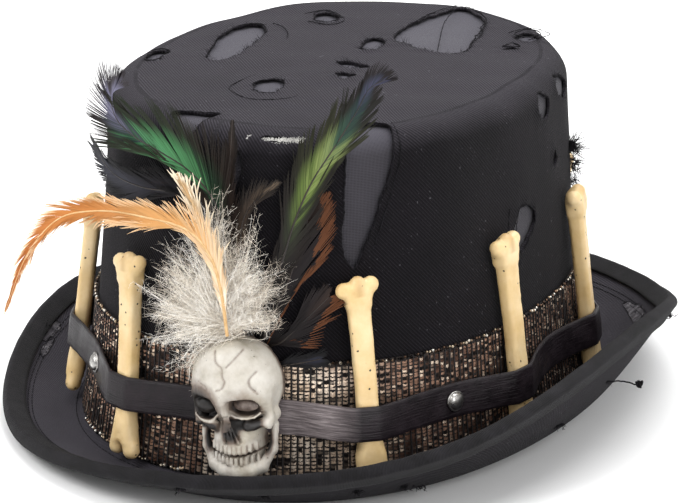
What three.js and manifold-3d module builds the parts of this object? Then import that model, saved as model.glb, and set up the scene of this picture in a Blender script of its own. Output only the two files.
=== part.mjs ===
// A worn black costume top hat in the voodoo style: rolled brim, torn crown, net band,
// leather strap with studs over a ring of bones, a small skull and a spray of feathers.
//
// Millimetres, +Z up. The origin is the middle of the head opening, on the plane that the
// brim rests on. -Y is the front, and +X is the wearer's left.
//
// Places on the crown are given as an arc, a height and a lift. The arc is the distance
// round the foot of the crown from the front towards the wearer's left. The height is
// measured up from the foot of the crown, and the lift is the distance out from its cloth.

import * as THREE from 'three';
import { mergeVertices } from 'three/addons/utils/BufferGeometryUtils.js';
import Module from 'manifold-3d';

const wasm = await Module();
wasm.setup();

// Crown sizes
const crownHalfWidth = 86;
const crownHalfLength = 108.5;
const crownHeight = 128;
const crownFullness = 2.24;
const topWidthShare = 0.9;
const topLengthShare = 0.94;
const crownLean = -2;
const footFlare = 3;
const footFlareHeight = 50;
const edgeRadius = 10;
const topDome = 2;
const coverWall = 0.9;
const underlayerWall = 1.3;

// Brim sizes
const brimHalfWidth = 122;
const brimHalfLength = 150;
const brimFullness = 2.08;
const brimSideShift = -2;
const brimBackShift = 8;
const brimRoll = 40.6;
const brimCurl = 1.25;
const brimWall = 2.5;
const seatStart = 2.5;
const brimLift = 2;
const bindingWidth = 7;
const bindingWall = 1;

// Trim sizes
const bandHeight = 46;
const bandWall = 0.8;
const strapWidth = 12;
const strapWall = 1.2;
const strapHeight = 26.5;
const strapRamp = 15;
const studDiameter = 7.6;
const studHeight = 2.2;
const trimArc = 15;
const boneCount = 9;
const bonePitch = 67;
const frontGapShare = 0.64;
const boneLength = 78.5;
const boneFoot = 0.8;
const boneLean = 5;
const shaftWidth = 6.4;
const shaftThickness = 4.6;
const knobWidth = 14;
const knobThickness = 7.6;

// Skull and spray sizes
const skullWidth = 33;
const skullHeight = 49;
const skullDepth = 21;
const skullFoot = 7.5;
const sprayFoot = 40;
const quillWidth = 1.1;
const quillPitch = 1.7;
const vaneThickness = 0.9;

// Fits and fineness
const gap = 0.3;
const roundSteps = 40;
const strapSteps = 100;

const tau = 2 * Math.PI;
const junctionHeight = brimLift + brimWall;
const bandTop = gap + bandWall;

// Round the hat at equal steps, starting at the front and turning towards the wearer's left:
// heights of the brim's edge and of the brim where the crown joins it, as shares of the brim
// roll, how far it then dips, as a share of that height, and how much of its width lies flat
const brimEdge = [
  { place: 'front', rise: 0.25, foot: 0, dip: 1, flat: 0.12 },
  { place: 'front left', rise: 0.51, foot: 0.06, dip: 0.4, flat: 0.04 },
  { place: 'left', rise: 1.0, foot: 0.16, dip: 0.1, flat: 0.26 },
  { place: 'back left', rise: 0.44, foot: 0.06, dip: 0.5, flat: 0.15 },
  { place: 'back', rise: 0.25, foot: 0, dip: 1, flat: 0.34 },
  { place: 'back right', rise: 0.09, foot: 0, dip: 1, flat: 0.35 },
  { place: 'right', rise: 0.42, foot: 0.06, dip: 0.5, flat: 0.2 },
  { place: 'front right', rise: 0.04, foot: 0, dip: 1, flat: 0.25 },
];

// Holes in the top of the crown cover, as shares of the crown's half width and half length,
// with their turn in degrees from the side axis
const topHoles = [
  { x: -0.53, y: 0.09, length: 0.52, width: 0.25, turn: 80, ragged: 0.06 },
  { x: -0.74, y: -0.25, length: 0.14, width: 0.08, turn: 73, ragged: 0.1 },
  { x: -0.07, y: -0.41, length: 0.21, width: 0.15, turn: 118, ragged: 0.1 },
  { x: -0.38, y: 0.53, length: 0.13, width: 0.1, turn: 22, ragged: 0.1 },
  { x: 0.03, y: 0.21, length: 0.25, width: 0.16, turn: 116, ragged: 0.08 },
  { x: 0.21, y: 0.54, length: 0.84, width: 0.25, turn: 97, ragged: 0.12 },
  { x: 0.55, y: 0.66, length: 0.14, width: 0.11, turn: 45, ragged: 0.14 },
  { x: 0.58, y: 0.47, length: 0.08, width: 0.05, turn: 40, ragged: 0.14 },
  { x: 0.11, y: -0.08, length: 0.11, width: 0.06, turn: 62, ragged: 0.1 },
  { x: 0.19, y: -0.2, length: 0.14, width: 0.08, turn: 50, ragged: 0.12 },
];

// Holes in the side of the crown cover: arc and height of the middle, length and width as
// shares of the crown height, and lean in degrees off upright
const sideHoles = [
  { arc: 0.49, height: 0.79, length: 0.46, width: 0.1, lean: -8, ragged: 0.08 },
  { arc: -0.1, height: 0.98, length: 0.17, width: 0.1, lean: 20, ragged: 0.2 },
  { arc: 0.08, height: 0.9, length: 0.13, width: 0.025, lean: 0, ragged: 0.1 },
  { arc: 0.17, height: 0.965, length: 0.15, width: 0.025, lean: 82, ragged: 0.2 },
  { arc: 1.15, height: 0.6, length: 0.13, width: 0.06, lean: -14, ragged: 0.12 },
  { arc: 1.31, height: 0.87, length: 0.1, width: 0.035, lean: -14, ragged: 0.08 },
  { arc: 1.47, height: 0.91, length: 0.09, width: 0.03, lean: -10, ragged: 0.08 },
];

// Worn patches in the upper cloth of the brim: direction in degrees from the front towards
// the wearer's left, place across the brim as a share, length and width as shares of its roll
const brimPatches = [
  { direction: 114, across: 0.56, length: 0.42, width: 0.12 },
  { direction: -78, across: 0.42, length: 0.2, width: 0.12 },
  { direction: -70, across: 0.34, length: 0.16, width: 0.09 },
];

// Studs on the strap, as shares of the bone pitch from the front bone on the wearer's left
const studPlaces = [0.55, 2.4, 3.5, 4.5, 5.5, 7.6];

// Feathers from the band, in the order of their quills behind the skull. Arcs from the middle
// of the trim, heights, lifts and half widths are shares of the crown height. The half width
// is that of the vane at its fullest, which is a share of the length from the quill's end.
const feathers = [
  {
    name: 'coque_dark_left', quill: -4, halfWidth: 0.062, fullest: 0.66, color: 0x17161a,
    bends: [
      { arc: -0.066, height: 0.524, lift: 0.0165 },
      { arc: -0.081, height: 0.708, lift: 0.0165 },
      { arc: -0.191, height: 0.776, lift: 0.019 },
      { arc: -0.362, height: 0.784, lift: 0.024 },
      { arc: -0.505, height: 0.8, lift: 0.035 },
      { arc: -0.608, height: 0.868, lift: 0.062 },
    ],
  },
  {
    name: 'coque_green_left', quill: -3, halfWidth: 0.082, fullest: 0.56, color: 0x1e3a2a,
    bends: [
      { arc: -0.04, height: 0.46, lift: 0.017 },
      { arc: -0.047, height: 0.57, lift: 0.044 },
      { arc: -0.058, height: 0.704, lift: 0.048 },
      { arc: -0.115, height: 0.826, lift: 0.058 },
      { arc: -0.22, height: 0.93, lift: 0.07 },
      { arc: -0.31, height: 1.01, lift: 0.084 },
      { arc: -0.375, height: 1.08, lift: 0.098 },
      { arc: -0.42, height: 1.15, lift: 0.112 },
    ],
  },
  {
    name: 'coque_brown_centre', quill: -2, halfWidth: 0.016, fullest: 0.7, color: 0x3a2a20,
    bends: [
      { arc: -0.026, height: 0.46, lift: 0.0165 },
      { arc: -0.028, height: 0.553, lift: 0.0225 },
      { arc: -0.046, height: 0.808, lift: 0.027 },
      { arc: -0.036, height: 1.047, lift: 0.034 },
    ],
  },
  {
    name: 'coque_forked_centre', quill: -1, halfWidth: 0.02, fullest: 0.7, color: 0x4a3d30,
    bends: [
      { arc: -0.012, height: 0.46, lift: 0.0165 },
      { arc: -0.004, height: 0.559, lift: 0.033 },
      { arc: 0.006, height: 0.78, lift: 0.037 },
      { arc: 0.106, height: 0.886, lift: 0.038 },
    ],
  },
  {
    name: 'coque_green_right', quill: 1, halfWidth: 0.088, fullest: 0.62, color: 0x1d2f26,
    bends: [
      { arc: 0.025, height: 0.45, lift: 0.017 },
      { arc: 0.06, height: 0.54, lift: 0.044 },
      { arc: 0.108, height: 0.665, lift: 0.047 },
      { arc: 0.177, height: 0.851, lift: 0.047 },
      { arc: 0.274, height: 1.005, lift: 0.052 },
      { arc: 0.37, height: 1.143, lift: 0.07 },
      { arc: 0.404, height: 1.189, lift: 0.086 },
    ],
  },
  {
    name: 'coque_rust_right', quill: 2, halfWidth: 0.055, fullest: 0.66, color: 0x2a1d18,
    bends: [
      { arc: 0.077, height: 0.484, lift: 0.022 },
      { arc: 0.133, height: 0.63, lift: 0.022 },
      { arc: 0.19, height: 0.731, lift: 0.022 },
      { arc: 0.23, height: 0.83, lift: 0.024 },
    ],
  },
  {
    name: 'coque_short_right', quill: 3, halfWidth: 0.042, fullest: 0.66, color: 0x1b1714,
    bends: [
      { arc: 0.07, height: 0.4, lift: 0.0165 },
      { arc: 0.11, height: 0.425, lift: 0.026 },
      { arc: 0.148, height: 0.45, lift: 0.038 },
      { arc: 0.247, height: 0.575, lift: 0.04 },
    ],
  },
  {
    name: 'coque_small_right', quill: 4, halfWidth: 0.026, fullest: 0.7, color: 0x1b1714,
    bends: [
      { arc: 0.1, height: 0.35, lift: 0.021 },
      { arc: 0.156, height: 0.363, lift: 0.022 },
      { arc: 0.219, height: 0.379, lift: 0.026 },
    ],
  },
];

// Hackles that lie on the down, with the same columns. Arcs, heights above the top of the
// skull, lifts and half widths are shares of the skull's height.
const hackles = [
  {
    name: 'hackle_cream', halfWidth: 0.091, fullest: 0.7, color: 0xcdb896,
    bends: [
      { arc: -0.026, height: 0.075, lift: 0.345 },
      { arc: -0.097, height: 0.555, lift: 0.347 },
      { arc: -0.201, height: 0.869, lift: 0.355 },
      { arc: -0.374, height: 1.227, lift: 0.392 },
    ],
  },
  {
    name: 'hackle_orange', halfWidth: 0.125, fullest: 0.55, color: 0xb9713a,
    bends: [
      { arc: -0.016, height: 0.075, lift: 0.374 },
      { arc: -0.055, height: 0.422, lift: 0.397 },
      { arc: -0.115, height: 0.673, lift: 0.434 },
      { arc: -0.251, height: 0.832, lift: 0.449 },
      { arc: -0.572, height: 0.887, lift: 0.491 },
      { arc: -0.92, height: 0.837, lift: 0.509 },
      { arc: -1.081, height: 0.764, lift: 0.664 },
      { arc: -1.162, height: 0.527, lift: 0.839 },
      { arc: -1.204, height: 0.033, lift: 1.008 },
    ],
  },
];

// Down behind and above the skull: the tips of its locks and each lock's thickness, in the
// same shares of the skull's height as the hackles
const downRoot = { arc: -0.052, height: 0.103 };
const downLift = 0.256;
const downLocks = [
  { arc: -0.496, height: 0.049, thick: 0.118 },
  { arc: -0.653, height: 0.31, thick: 0.157 },
  { arc: -0.627, height: 0.623, thick: 0.157 },
  { arc: -0.444, height: 0.937, thick: 0.157 },
  { arc: -0.078, height: 1.041, thick: 0.157 },
  { arc: 0.157, height: 0.884, thick: 0.157 },
  { arc: 0.287, height: 0.597, thick: 0.144 },
  { arc: 0.313, height: 0.31, thick: 0.131 },
];

// Crown surface
function signedPower(value, exponent) {
  return Math.sign(value) * Math.abs(value) ** exponent;
}

function ovalPoint(angle, halfWidth, halfLength, fullness) {
  const exponent = 2 / fullness;
  return new THREE.Vector2(
    halfWidth * signedPower(Math.sin(angle), exponent),
    -halfLength * signedPower(Math.cos(angle), exponent),
  );
}

// Lengths along the foot of the crown, which turn an arc into an angle and back
const footFineness = 720;
const footLengths = [0];
for (let i = 1; i <= footFineness; i += 1) {
  const before = ovalPoint(((i - 1) / footFineness) * tau, crownHalfWidth, crownHalfLength, crownFullness);
  const here = ovalPoint((i / footFineness) * tau, crownHalfWidth, crownHalfLength, crownFullness);
  footLengths.push(footLengths[i - 1] + here.distanceTo(before));
}
const footPerimeter = footLengths[footFineness];

function angleAtArc(arc) {
  const turns = Math.floor(arc / footPerimeter);
  const rest = arc - turns * footPerimeter;
  let i = 1;
  while (i < footFineness && footLengths[i] < rest) i += 1;
  const share = (rest - footLengths[i - 1]) / (footLengths[i] - footLengths[i - 1]);
  return ((i - 1 + share) / footFineness + turns) * tau;
}

// A column of the brim table at any angle, on a smooth curve through its rows
function aroundBrim(column, angle) {
  const count = brimEdge.length;
  const place = ((angle / tau) * count + count) % count;
  const i = Math.floor(place);
  const t = place - i;
  const value = (step) => brimEdge[(i + step + count) % count][column];
  const before = value(-1);
  const here = value(0);
  const next = value(1);
  const after = value(2);
  const bend = 2 * before - 5 * here + 4 * next - after;
  const swing = 3 * (here - next) + after - before;
  return here + 0.5 * t * (next - before + t * (bend + t * swing));
}

// How far the brim lifts the foot of the crown at an angle
function footRise(angle) {
  return brimRoll * aroundBrim('foot', angle);
}

function flareAt(height) {
  const share = Math.max(0, 1 - height / footFlareHeight);
  return footFlare * share * share;
}

// A point on the crown at an angle, a height above its foot and a lift out from its cloth
function crownPoint(angle, height, lift) {
  const share = height / crownHeight;
  const spread = flareAt(height) + lift;
  const halfWidth = crownHalfWidth * (1 - (1 - topWidthShare) * share) + spread;
  const halfLength = crownHalfLength * (1 - (1 - topLengthShare) * share) + spread;
  const flat = ovalPoint(angle, halfWidth, halfLength, crownFullness);
  return new THREE.Vector3(flat.x + crownLean * share, flat.y, junctionHeight + height);
}

function crownPlace(arc, height, lift) {
  return crownPoint(angleAtArc(arc), height, lift);
}

// Directions on the crown at a place: outward, up the cloth and round it
function crownAxes(arc, height) {
  const step = 1;
  const here = crownPlace(arc, height, 0);
  const up = crownPlace(arc, height + step, 0).sub(here).normalize();
  const round = crownPlace(arc + step, height, 0).sub(crownPlace(arc - step, height, 0)).normalize();
  const out = new THREE.Vector3().crossVectors(round, up).normalize();
  return { up, round, out };
}

const roundAngles = [];
for (let i = 0; i < roundSteps; i += 1) {
  roundAngles.push(angleAtArc((i / roundSteps) * footPerimeter));
}

// Solids from rings of points
function facesOut(points, faces) {
  let volume = 0;
  for (const [a, b, c] of faces) {
    volume += points[a].dot(new THREE.Vector3().crossVectors(points[b], points[c]));
  }
  return volume < 0 ? faces.map(([a, b, c]) => [a, c, b]) : faces;
}

function solidGeometry(points, faces) {
  const geometry = new THREE.BufferGeometry();
  const positions = points.flatMap((point) => [point.x, point.y, point.z]);
  geometry.setAttribute('position', new THREE.Float32BufferAttribute(positions, 3));
  geometry.setIndex(facesOut(points, faces).flat());
  return geometry;
}

function bridge(faces, start, next, count) {
  for (let i = 0; i < count; i += 1) {
    const j = (i + 1) % count;
    faces.push([start + i, start + j, next + j], [start + i, next + j, next + i]);
  }
}

// A skin over rings that close on themselves, like a hoop
function hoop(rings) {
  const count = rings[0].length;
  const faces = [];
  rings.forEach((ring, i) => bridge(faces, i * count, ((i + 1) % rings.length) * count, count));
  return solidGeometry(rings.flat(), faces);
}

// A skin over rings from one end point to another, like a cigar
function cigar(startPoint, rings, endPoint) {
  const count = rings[0].length;
  const points = [...rings.flat(), startPoint, endPoint];
  const last = (rings.length - 1) * count;
  const faces = [];
  for (let i = 0; i < rings.length - 1; i += 1) bridge(faces, i * count, (i + 1) * count, count);
  for (let i = 0; i < count; i += 1) {
    const j = (i + 1) % count;
    faces.push([points.length - 2, j, i], [points.length - 1, last + i, last + j]);
  }
  return solidGeometry(points, faces);
}

// Joins and cuts
function toSolid(geometry) {
  const bare = geometry.clone();
  bare.deleteAttribute('normal');
  bare.deleteAttribute('uv');
  const merged = mergeVertices(bare);
  return new wasm.Manifold(new wasm.Mesh({
    numProp: 3,
    vertProperties: new Float32Array(merged.attributes.position.array),
    triVerts: new Uint32Array(merged.index.array),
  }));
}

function fromSolid(solid) {
  const mesh = solid.getMesh();
  const geometry = new THREE.BufferGeometry();
  geometry.setAttribute('position', new THREE.Float32BufferAttribute(mesh.vertProperties, 3));
  geometry.setIndex([...mesh.triVerts]);
  return geometry;
}

const group = new THREE.Group();

function addPiece(name, geometry, color, roughness, metalness = 0) {
  const material = new THREE.MeshStandardMaterial({ color, roughness, metalness });
  const mesh = new THREE.Mesh(geometry, material);
  mesh.name = name;
  group.add(mesh);
}

// Crown cloth: one wall from its foot, round the top edge and over the top
const roundingSteps = 3;
const topRing = { inward: 0.5, rise: 0.75 };
const sideHeights = [0.24, 0.56, 1].map((share) => share * footFlareHeight);

function crownRings(lift) {
  const radius = edgeRadius + lift;
  const edgeStart = crownHeight - edgeRadius;
  const rings = [0, ...sideHeights].map((height) => roundAngles.map((angle) => {
    const foot = footRise(angle) + gap;
    return crownPoint(angle, Math.max(height, foot + (height * foot) / footFlareHeight), lift);
  }));
  for (let i = 0; i <= roundingSteps; i += 1) {
    const turn = (i / roundingSteps) * (Math.PI / 2);
    const height = edgeStart + radius * Math.sin(turn);
    const inset = radius * (1 - Math.cos(turn));
    rings.push(roundAngles.map((angle) => crownPoint(angle, height, lift - inset)));
  }
  const rim = rings[rings.length - 1];
  const centre = new THREE.Vector3(crownLean, 0, rim[0].z);
  const innerRing = rim.map((point) => {
    const inner = point.clone().lerp(centre, topRing.inward);
    inner.z += topDome * topRing.rise;
    return inner;
  });
  rings.push(innerRing);
  const pole = centre.clone().setZ(rim[0].z + topDome);
  return { rings, pole };
}

function crownWall(outerLift, wall) {
  const outer = crownRings(outerLift);
  const inner = crownRings(outerLift - wall);
  return cigar(inner.pole, [...inner.rings.reverse(), ...outer.rings], outer.pole);
}

// A ragged oval hole, cut as a thin plug that stands across the cloth
function raggedPlug(length, width, ragged, depth, seed) {
  const corners = 9;
  const shape = new THREE.Shape();
  for (let i = 0; i < corners; i += 1) {
    const angle = (i / corners) * tau;
    const wobble = 1 + ragged * Math.sin(3 * angle + seed) * Math.cos(5 * angle + 2 * seed);
    const x = (length / 2) * wobble * Math.cos(angle);
    const y = (width / 2) * wobble * Math.sin(angle);
    if (i === 0) shape.moveTo(x, y);
    else shape.lineTo(x, y);
  }
  shape.closePath();
  const geometry = new THREE.ExtrudeGeometry(shape, { depth, bevelEnabled: false });
  geometry.translate(0, 0, -depth / 2);
  return geometry;
}

function topPlug(hole, index) {
  const plug = raggedPlug(
    hole.length * crownHalfWidth,
    hole.width * crownHalfWidth,
    hole.ragged,
    4 * (topDome + coverWall),
    index,
  );
  plug.rotateZ(THREE.MathUtils.degToRad(hole.turn));
  plug.translate(
    hole.x * crownHalfWidth + crownLean,
    hole.y * crownHalfLength,
    junctionHeight + crownHeight,
  );
  return plug;
}

function sidePlug(hole, index) {
  const plug = raggedPlug(
    hole.length * crownHeight,
    hole.width * crownHeight,
    hole.ragged,
    edgeRadius,
    index,
  );
  plug.rotateZ(THREE.MathUtils.degToRad(90 + hole.lean));
  const arc = hole.arc * crownHeight;
  const height = hole.height * crownHeight;
  const { up, round, out } = crownAxes(arc, height);
  plug.applyMatrix4(new THREE.Matrix4().makeBasis(round, up, out));
  plug.translate(...crownPlace(arc, height, 0).toArray());
  return plug;
}

function addCrown() {
  let cover = toSolid(crownWall(0, coverWall));
  topHoles.forEach((hole, i) => {
    cover = cover.subtract(toSolid(topPlug(hole, i)));
  });
  sideHoles.forEach((hole, i) => {
    cover = cover.subtract(toSolid(sidePlug(hole, i)));
  });
  addPiece('crown_cover', fromSolid(cover), 0x1a1920, 0.92);
  addPiece('crown_underlayer', crownWall(-coverWall - gap, underlayerWall), 0x4a4c58, 0.85);
}

// Brim
// Across the brim at one angle: where its underside runs, as distances out from the hole
// and heights, with the direction out from the crown
function brimLine(angle) {
  const innerLift = -coverWall - gap - underlayerWall;
  const start = crownPoint(angle, 0, innerLift);
  const flat = ovalPoint(angle, brimHalfWidth, brimHalfLength, brimFullness);
  const end = new THREE.Vector3(flat.x + brimSideShift, flat.y + brimBackShift, start.z);
  const reach = end.distanceTo(start);
  const out = end.sub(start).normalize();
  const wall = -innerLift;
  const flatEnd = wall + seatStart + (reach - wall - seatStart) * aroundBrim('flat', angle);
  const rise = junctionHeight + brimRoll * aroundBrim('rise', angle) - bindingWall - gap;
  const foot = brimLift + footRise(angle);
  const low = Math.max(0, foot * (1 - aroundBrim('dip', angle)));
  const line = [
    new THREE.Vector2(0, foot),
    new THREE.Vector2(wall, foot),
    new THREE.Vector2(wall + seatStart, low),
    new THREE.Vector2(flatEnd, low),
  ];
  const curlSteps = 24;
  for (let i = 1; i <= curlSteps; i += 1) {
    const t = i / curlSteps;
    line.push(new THREE.Vector2(flatEnd + (reach - flatEnd) * t, low + (rise - low) * t ** brimCurl));
  }
  return { start, out, line };
}

const curlShares = [0.4, 0.75];

// The brim's stations: its bends, two places on its curl, the binding's edge and the end
function brimStations(angle) {
  const { start, out, line } = brimLine(angle);
  const lengths = [0];
  for (let i = 1; i < line.length; i += 1) lengths.push(lengths[i - 1] + line[i].distanceTo(line[i - 1]));
  const total = lengths[lengths.length - 1];
  const flatEnd = lengths[3];
  const bindingStart = total - bindingWidth;
  const curl = curlShares.map((share) => flatEnd + (bindingStart - flatEnd) * share);
  const at = (length) => {
    let i = 1;
    while (i < line.length - 1 && lengths[i] < length) i += 1;
    const share = (length - lengths[i - 1]) / (lengths[i] - lengths[i - 1]);
    return line[i - 1].clone().lerp(line[i], share);
  };
  const places = [0, lengths[1], lengths[2], flatEnd, ...curl, bindingStart, total].map(at);
  const normals = places.map((place, i) => {
    const before = places[Math.max(0, i - 1)];
    const after = places[Math.min(places.length - 1, i + 1)];
    const along = after.clone().sub(before).normalize();
    return new THREE.Vector2(-along.y, along.x);
  });
  const last = places.length - 1;
  const endAlong = places[last].clone().sub(places[last - 1]).normalize();
  normals[0].set(0, 1);
  normals[1].set(0, 1);
  normals[last - 1].set(-endAlong.y, endAlong.x);
  normals[last].set(-endAlong.y, endAlong.x);
  const point = (place) => start.clone().addScaledVector(out, place.x).setZ(place.y);
  const offset = (i, lift, beyond = 0) => point(
    places[i].clone().addScaledVector(normals[i], lift).addScaledVector(endAlong, beyond),
  );
  return { last, offset };
}

function brimRings() {
  const stations = roundAngles.map(brimStations);
  const last = stations[0].last;
  const under = [];
  const upper = [];
  for (let i = 0; i <= last; i += 1) {
    under.push(stations.map((station) => station.offset(i, 0)));
    upper.push(stations.map((station) => station.offset(i, brimWall)));
  }
  return { stations, last, under, upper };
}

// The first station of the brim beyond its foot, and how ragged and how deep a patch is
const patchStationIndex = 2;
const patchRagged = 0.12;
const patchDepth = brimWall / 4;

function patchPlug(patch, rings, index) {
  const length = patch.length * brimRoll;
  const width = patch.width * brimRoll;
  const plug = raggedPlug(length, width, patchRagged, 4 * patchDepth, index);
  const angle = THREE.MathUtils.degToRad(patch.direction);
  const { offset } = brimStations(angle);
  const inner = offset(patchStationIndex, brimWall);
  const outer = offset(rings.last - 1, brimWall);
  const out = outer.clone().sub(inner).normalize();
  const side = new THREE.Vector3(-out.y, out.x, 0).normalize();
  const up = new THREE.Vector3().crossVectors(out, side).normalize();
  plug.applyMatrix4(new THREE.Matrix4().makeBasis(side, out.clone().negate(), up));
  const share = patch.across * (rings.last - 1 - patchStationIndex);
  const low = patchStationIndex + Math.floor(share);
  const centre = offset(low, brimWall).lerp(offset(low + 1, brimWall), share - Math.floor(share));
  plug.translate(...centre.addScaledVector(up, patchDepth).toArray());
  return plug;
}

function addBrim() {
  const rings = brimRings();
  let brim = toSolid(hoop([...rings.under, ...rings.upper.slice().reverse()]));
  brimPatches.forEach((patch, i) => {
    brim = brim.subtract(toSolid(patchPlug(patch, rings, i)));
  });
  addPiece('brim', fromSolid(brim), 0x1b1a20, 0.92);
  addBinding(rings);
}

// A tape folded over the brim's edge
function addBinding({ stations, last }) {
  const inside = gap;
  const outside = gap + bindingWall;
  const corners = [
    { place: last - 1, lift: brimWall + outside, beyond: 0 },
    { place: last, lift: brimWall + outside, beyond: 0 },
    { place: last, lift: brimWall / 2, beyond: outside },
    { place: last, lift: -outside, beyond: 0 },
    { place: last - 1, lift: -outside, beyond: 0 },
    { place: last - 1, lift: -inside, beyond: 0 },
    { place: last, lift: -inside, beyond: inside },
    { place: last, lift: brimWall + inside, beyond: inside },
    { place: last - 1, lift: brimWall + inside, beyond: 0 },
  ];
  const rings = corners.map(({ place, lift, beyond }) => (
    stations.map((station) => station.offset(place, lift, beyond))
  ));
  addPiece('brim_binding', hoop(rings), 0x141318, 0.9);
}

// Net band round the foot of the crown
function addBand() {
  const shares = [0, 0.3, 0.65, 1];
  const ring = (share, lift) => roundAngles.map((angle) => {
    const foot = footRise(angle) + 2 * gap;
    return crownPoint(angle, foot + (bandHeight - foot) * share, lift);
  });
  const rings = [
    ...shares.map((share) => ring(share, gap)),
    ...shares.slice().reverse().map((share) => ring(share, bandTop)),
  ];
  addPiece('hat_band', hoop(rings), 0x6b5136, 0.45, 0.4);
}

// Bones, strap and studs
const boneBack = bandTop + gap;
const boneAxisLift = boneBack + knobThickness / 2;
const firstBoneArc = trimArc + bonePitch * frontGapShare;
const boneArcs = [];
for (let i = 0; i < boneCount; i += 1) boneArcs.push(firstBoneArc + i * bonePitch);

// Shares of the bone's length, of the knob's half width and half thickness
const boneSections = [
  { along: 0.015, width: 0.66, thickness: 0.66 },
  { along: 0.075, width: 1, thickness: 1 },
  { along: 0.12, width: 0.8, thickness: 0.86 },
  { along: 0.2, width: 'shaft', thickness: 'shaft' },
  { along: 0.83, width: 'shaft', thickness: 'shaft' },
  { along: 0.89, width: 0.82, thickness: 0.88 },
  { along: 0.935, width: 0.97, thickness: 1 },
  { along: 0.985, width: 0.7, thickness: 0.7 },
];
const boneSides = 8;

function boneGeometry() {
  const rings = boneSections.map(({ along, width, thickness }) => {
    const halfWidth = width === 'shaft' ? shaftWidth / 2 : (width * knobWidth) / 2;
    const thick = thickness === 'shaft' ? shaftThickness : thickness * knobThickness;
    const halfThickness = thick / 2;
    const ring = [];
    for (let i = 0; i < boneSides; i += 1) {
      const angle = ((i + 0.5) / boneSides) * tau;
      const across = halfWidth * Math.cos(angle);
      const outward = halfThickness * Math.sin(angle);
      ring.push(new THREE.Vector3(across, boneLength * along, outward));
    }
    return ring;
  });
  return cigar(new THREE.Vector3(0, 0, 0), rings, new THREE.Vector3(0, boneLength, 0));
}

function boneFrame(arc) {
  const low = boneFoot + footRise(angleAtArc(arc));
  const foot = crownPlace(arc + boneLean / 2, low, boneAxisLift);
  const head = crownPlace(arc - boneLean / 2, low + boneLength, boneAxisLift - bandTop);
  const up = head.sub(foot).normalize();
  const middle = crownAxes(arc, boneLength / 2);
  const side = new THREE.Vector3().crossVectors(up, middle.out).normalize();
  const out = new THREE.Vector3().crossVectors(side, up).normalize();
  return { foot, matrix: new THREE.Matrix4().makeBasis(side, up, out).setPosition(foot) };
}

function addBones() {
  boneArcs.forEach((arc, i) => {
    const geometry = boneGeometry().applyMatrix4(boneFrame(arc).matrix);
    addPiece(`bone_${i + 1}`, geometry, 0xe6d3a3, 0.55);
  });
}

// How far the straight bone's middle line stands off the flared crown at a height
function boneLiftAt(height) {
  const share = (height - boneFoot) / boneLength;
  const foot = flareAt(boneFoot) + boneAxisLift;
  const head = boneAxisLift - bandTop;
  return THREE.MathUtils.lerp(foot, head, share) - flareAt(height);
}

const strapFoot = strapHeight - strapWidth / 2;
const strapHead = strapHeight + strapWidth / 2;
const strapLow = bandTop + gap;
const strapHigh = Math.max(boneLiftAt(strapFoot), boneLiftAt(strapHead)) + shaftThickness / 2 + 2 * gap;
const strapFlat = shaftWidth / 2 + footPerimeter / strapSteps;

// How far the inner side of the strap lifts off the crown at an arc
function strapLift(arc) {
  let nearest = footPerimeter;
  for (const boneArc of boneArcs) {
    const apart = Math.abs(((arc - boneArc) % footPerimeter + footPerimeter) % footPerimeter);
    nearest = Math.min(nearest, apart, footPerimeter - apart);
  }
  const share = THREE.MathUtils.clamp((nearest - strapFlat) / strapRamp, 0, 1);
  return strapHigh + (strapLow - strapHigh) * THREE.MathUtils.smoothstep(share, 0, 1);
}

function addStrap() {
  const corners = [
    { height: strapFoot, out: 0 },
    { height: strapHead, out: 0 },
    { height: strapHead, out: strapWall },
    { height: strapFoot, out: strapWall },
  ];
  const rings = corners.map(({ height, out }) => {
    const ring = [];
    for (let i = 0; i < strapSteps; i += 1) {
      const arc = (i / strapSteps) * footPerimeter;
      ring.push(crownPlace(arc, height, strapLift(arc) + out));
    }
    return ring;
  });
  addPiece('strap', hoop(rings), 0x121114, 0.5);
}

// A stud's outline, as shares of its radius and height
const studProfile = [
  { out: 0, rise: 0 },
  { out: 1, rise: 0 },
  { out: 0.9, rise: 0.7 },
  { out: 0.6, rise: 1 },
  { out: 0, rise: 1 },
];
const studSides = 10;

function addStuds() {
  const radius = studDiameter / 2;
  const profile = studProfile.map(({ out, rise }) => new THREE.Vector2(out * radius, rise * studHeight));
  studPlaces.forEach((place, i) => {
    const geometry = new THREE.LatheGeometry(profile, studSides);
    const arc = firstBoneArc + place * bonePitch;
    const { up, round, out } = crownAxes(arc, strapHeight);
    geometry.applyMatrix4(new THREE.Matrix4().makeBasis(up, out, round));
    const seat = strapLift(arc) + strapWall + 2 * gap;
    geometry.translate(...crownPlace(arc, strapHeight, seat).toArray());
    addPiece(`stud_${i + 1}`, fromSolid(toSolid(geometry)), 0xb9b7b2, 0.3, 1);
  });
}

// Skull: a relief with a flat back, seen from the front as an outline that narrows to the jaw
const skullRows = [
  { height: 0.0, width: 0.26, depth: 0.42 },
  { height: 0.1, width: 0.5, depth: 0.62 },
  { height: 0.24, width: 0.56, depth: 0.72 },
  { height: 0.4, width: 0.8, depth: 0.84 },
  { height: 0.54, width: 0.92, depth: 0.9 },
  { height: 0.7, width: 1.0, depth: 1.0 },
  { height: 0.85, width: 0.88, depth: 0.93 },
  { height: 0.95, width: 0.6, depth: 0.66 },
  { height: 1.0, width: 0.28, depth: 0.3 },
];
const skullSides = 12;

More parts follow.
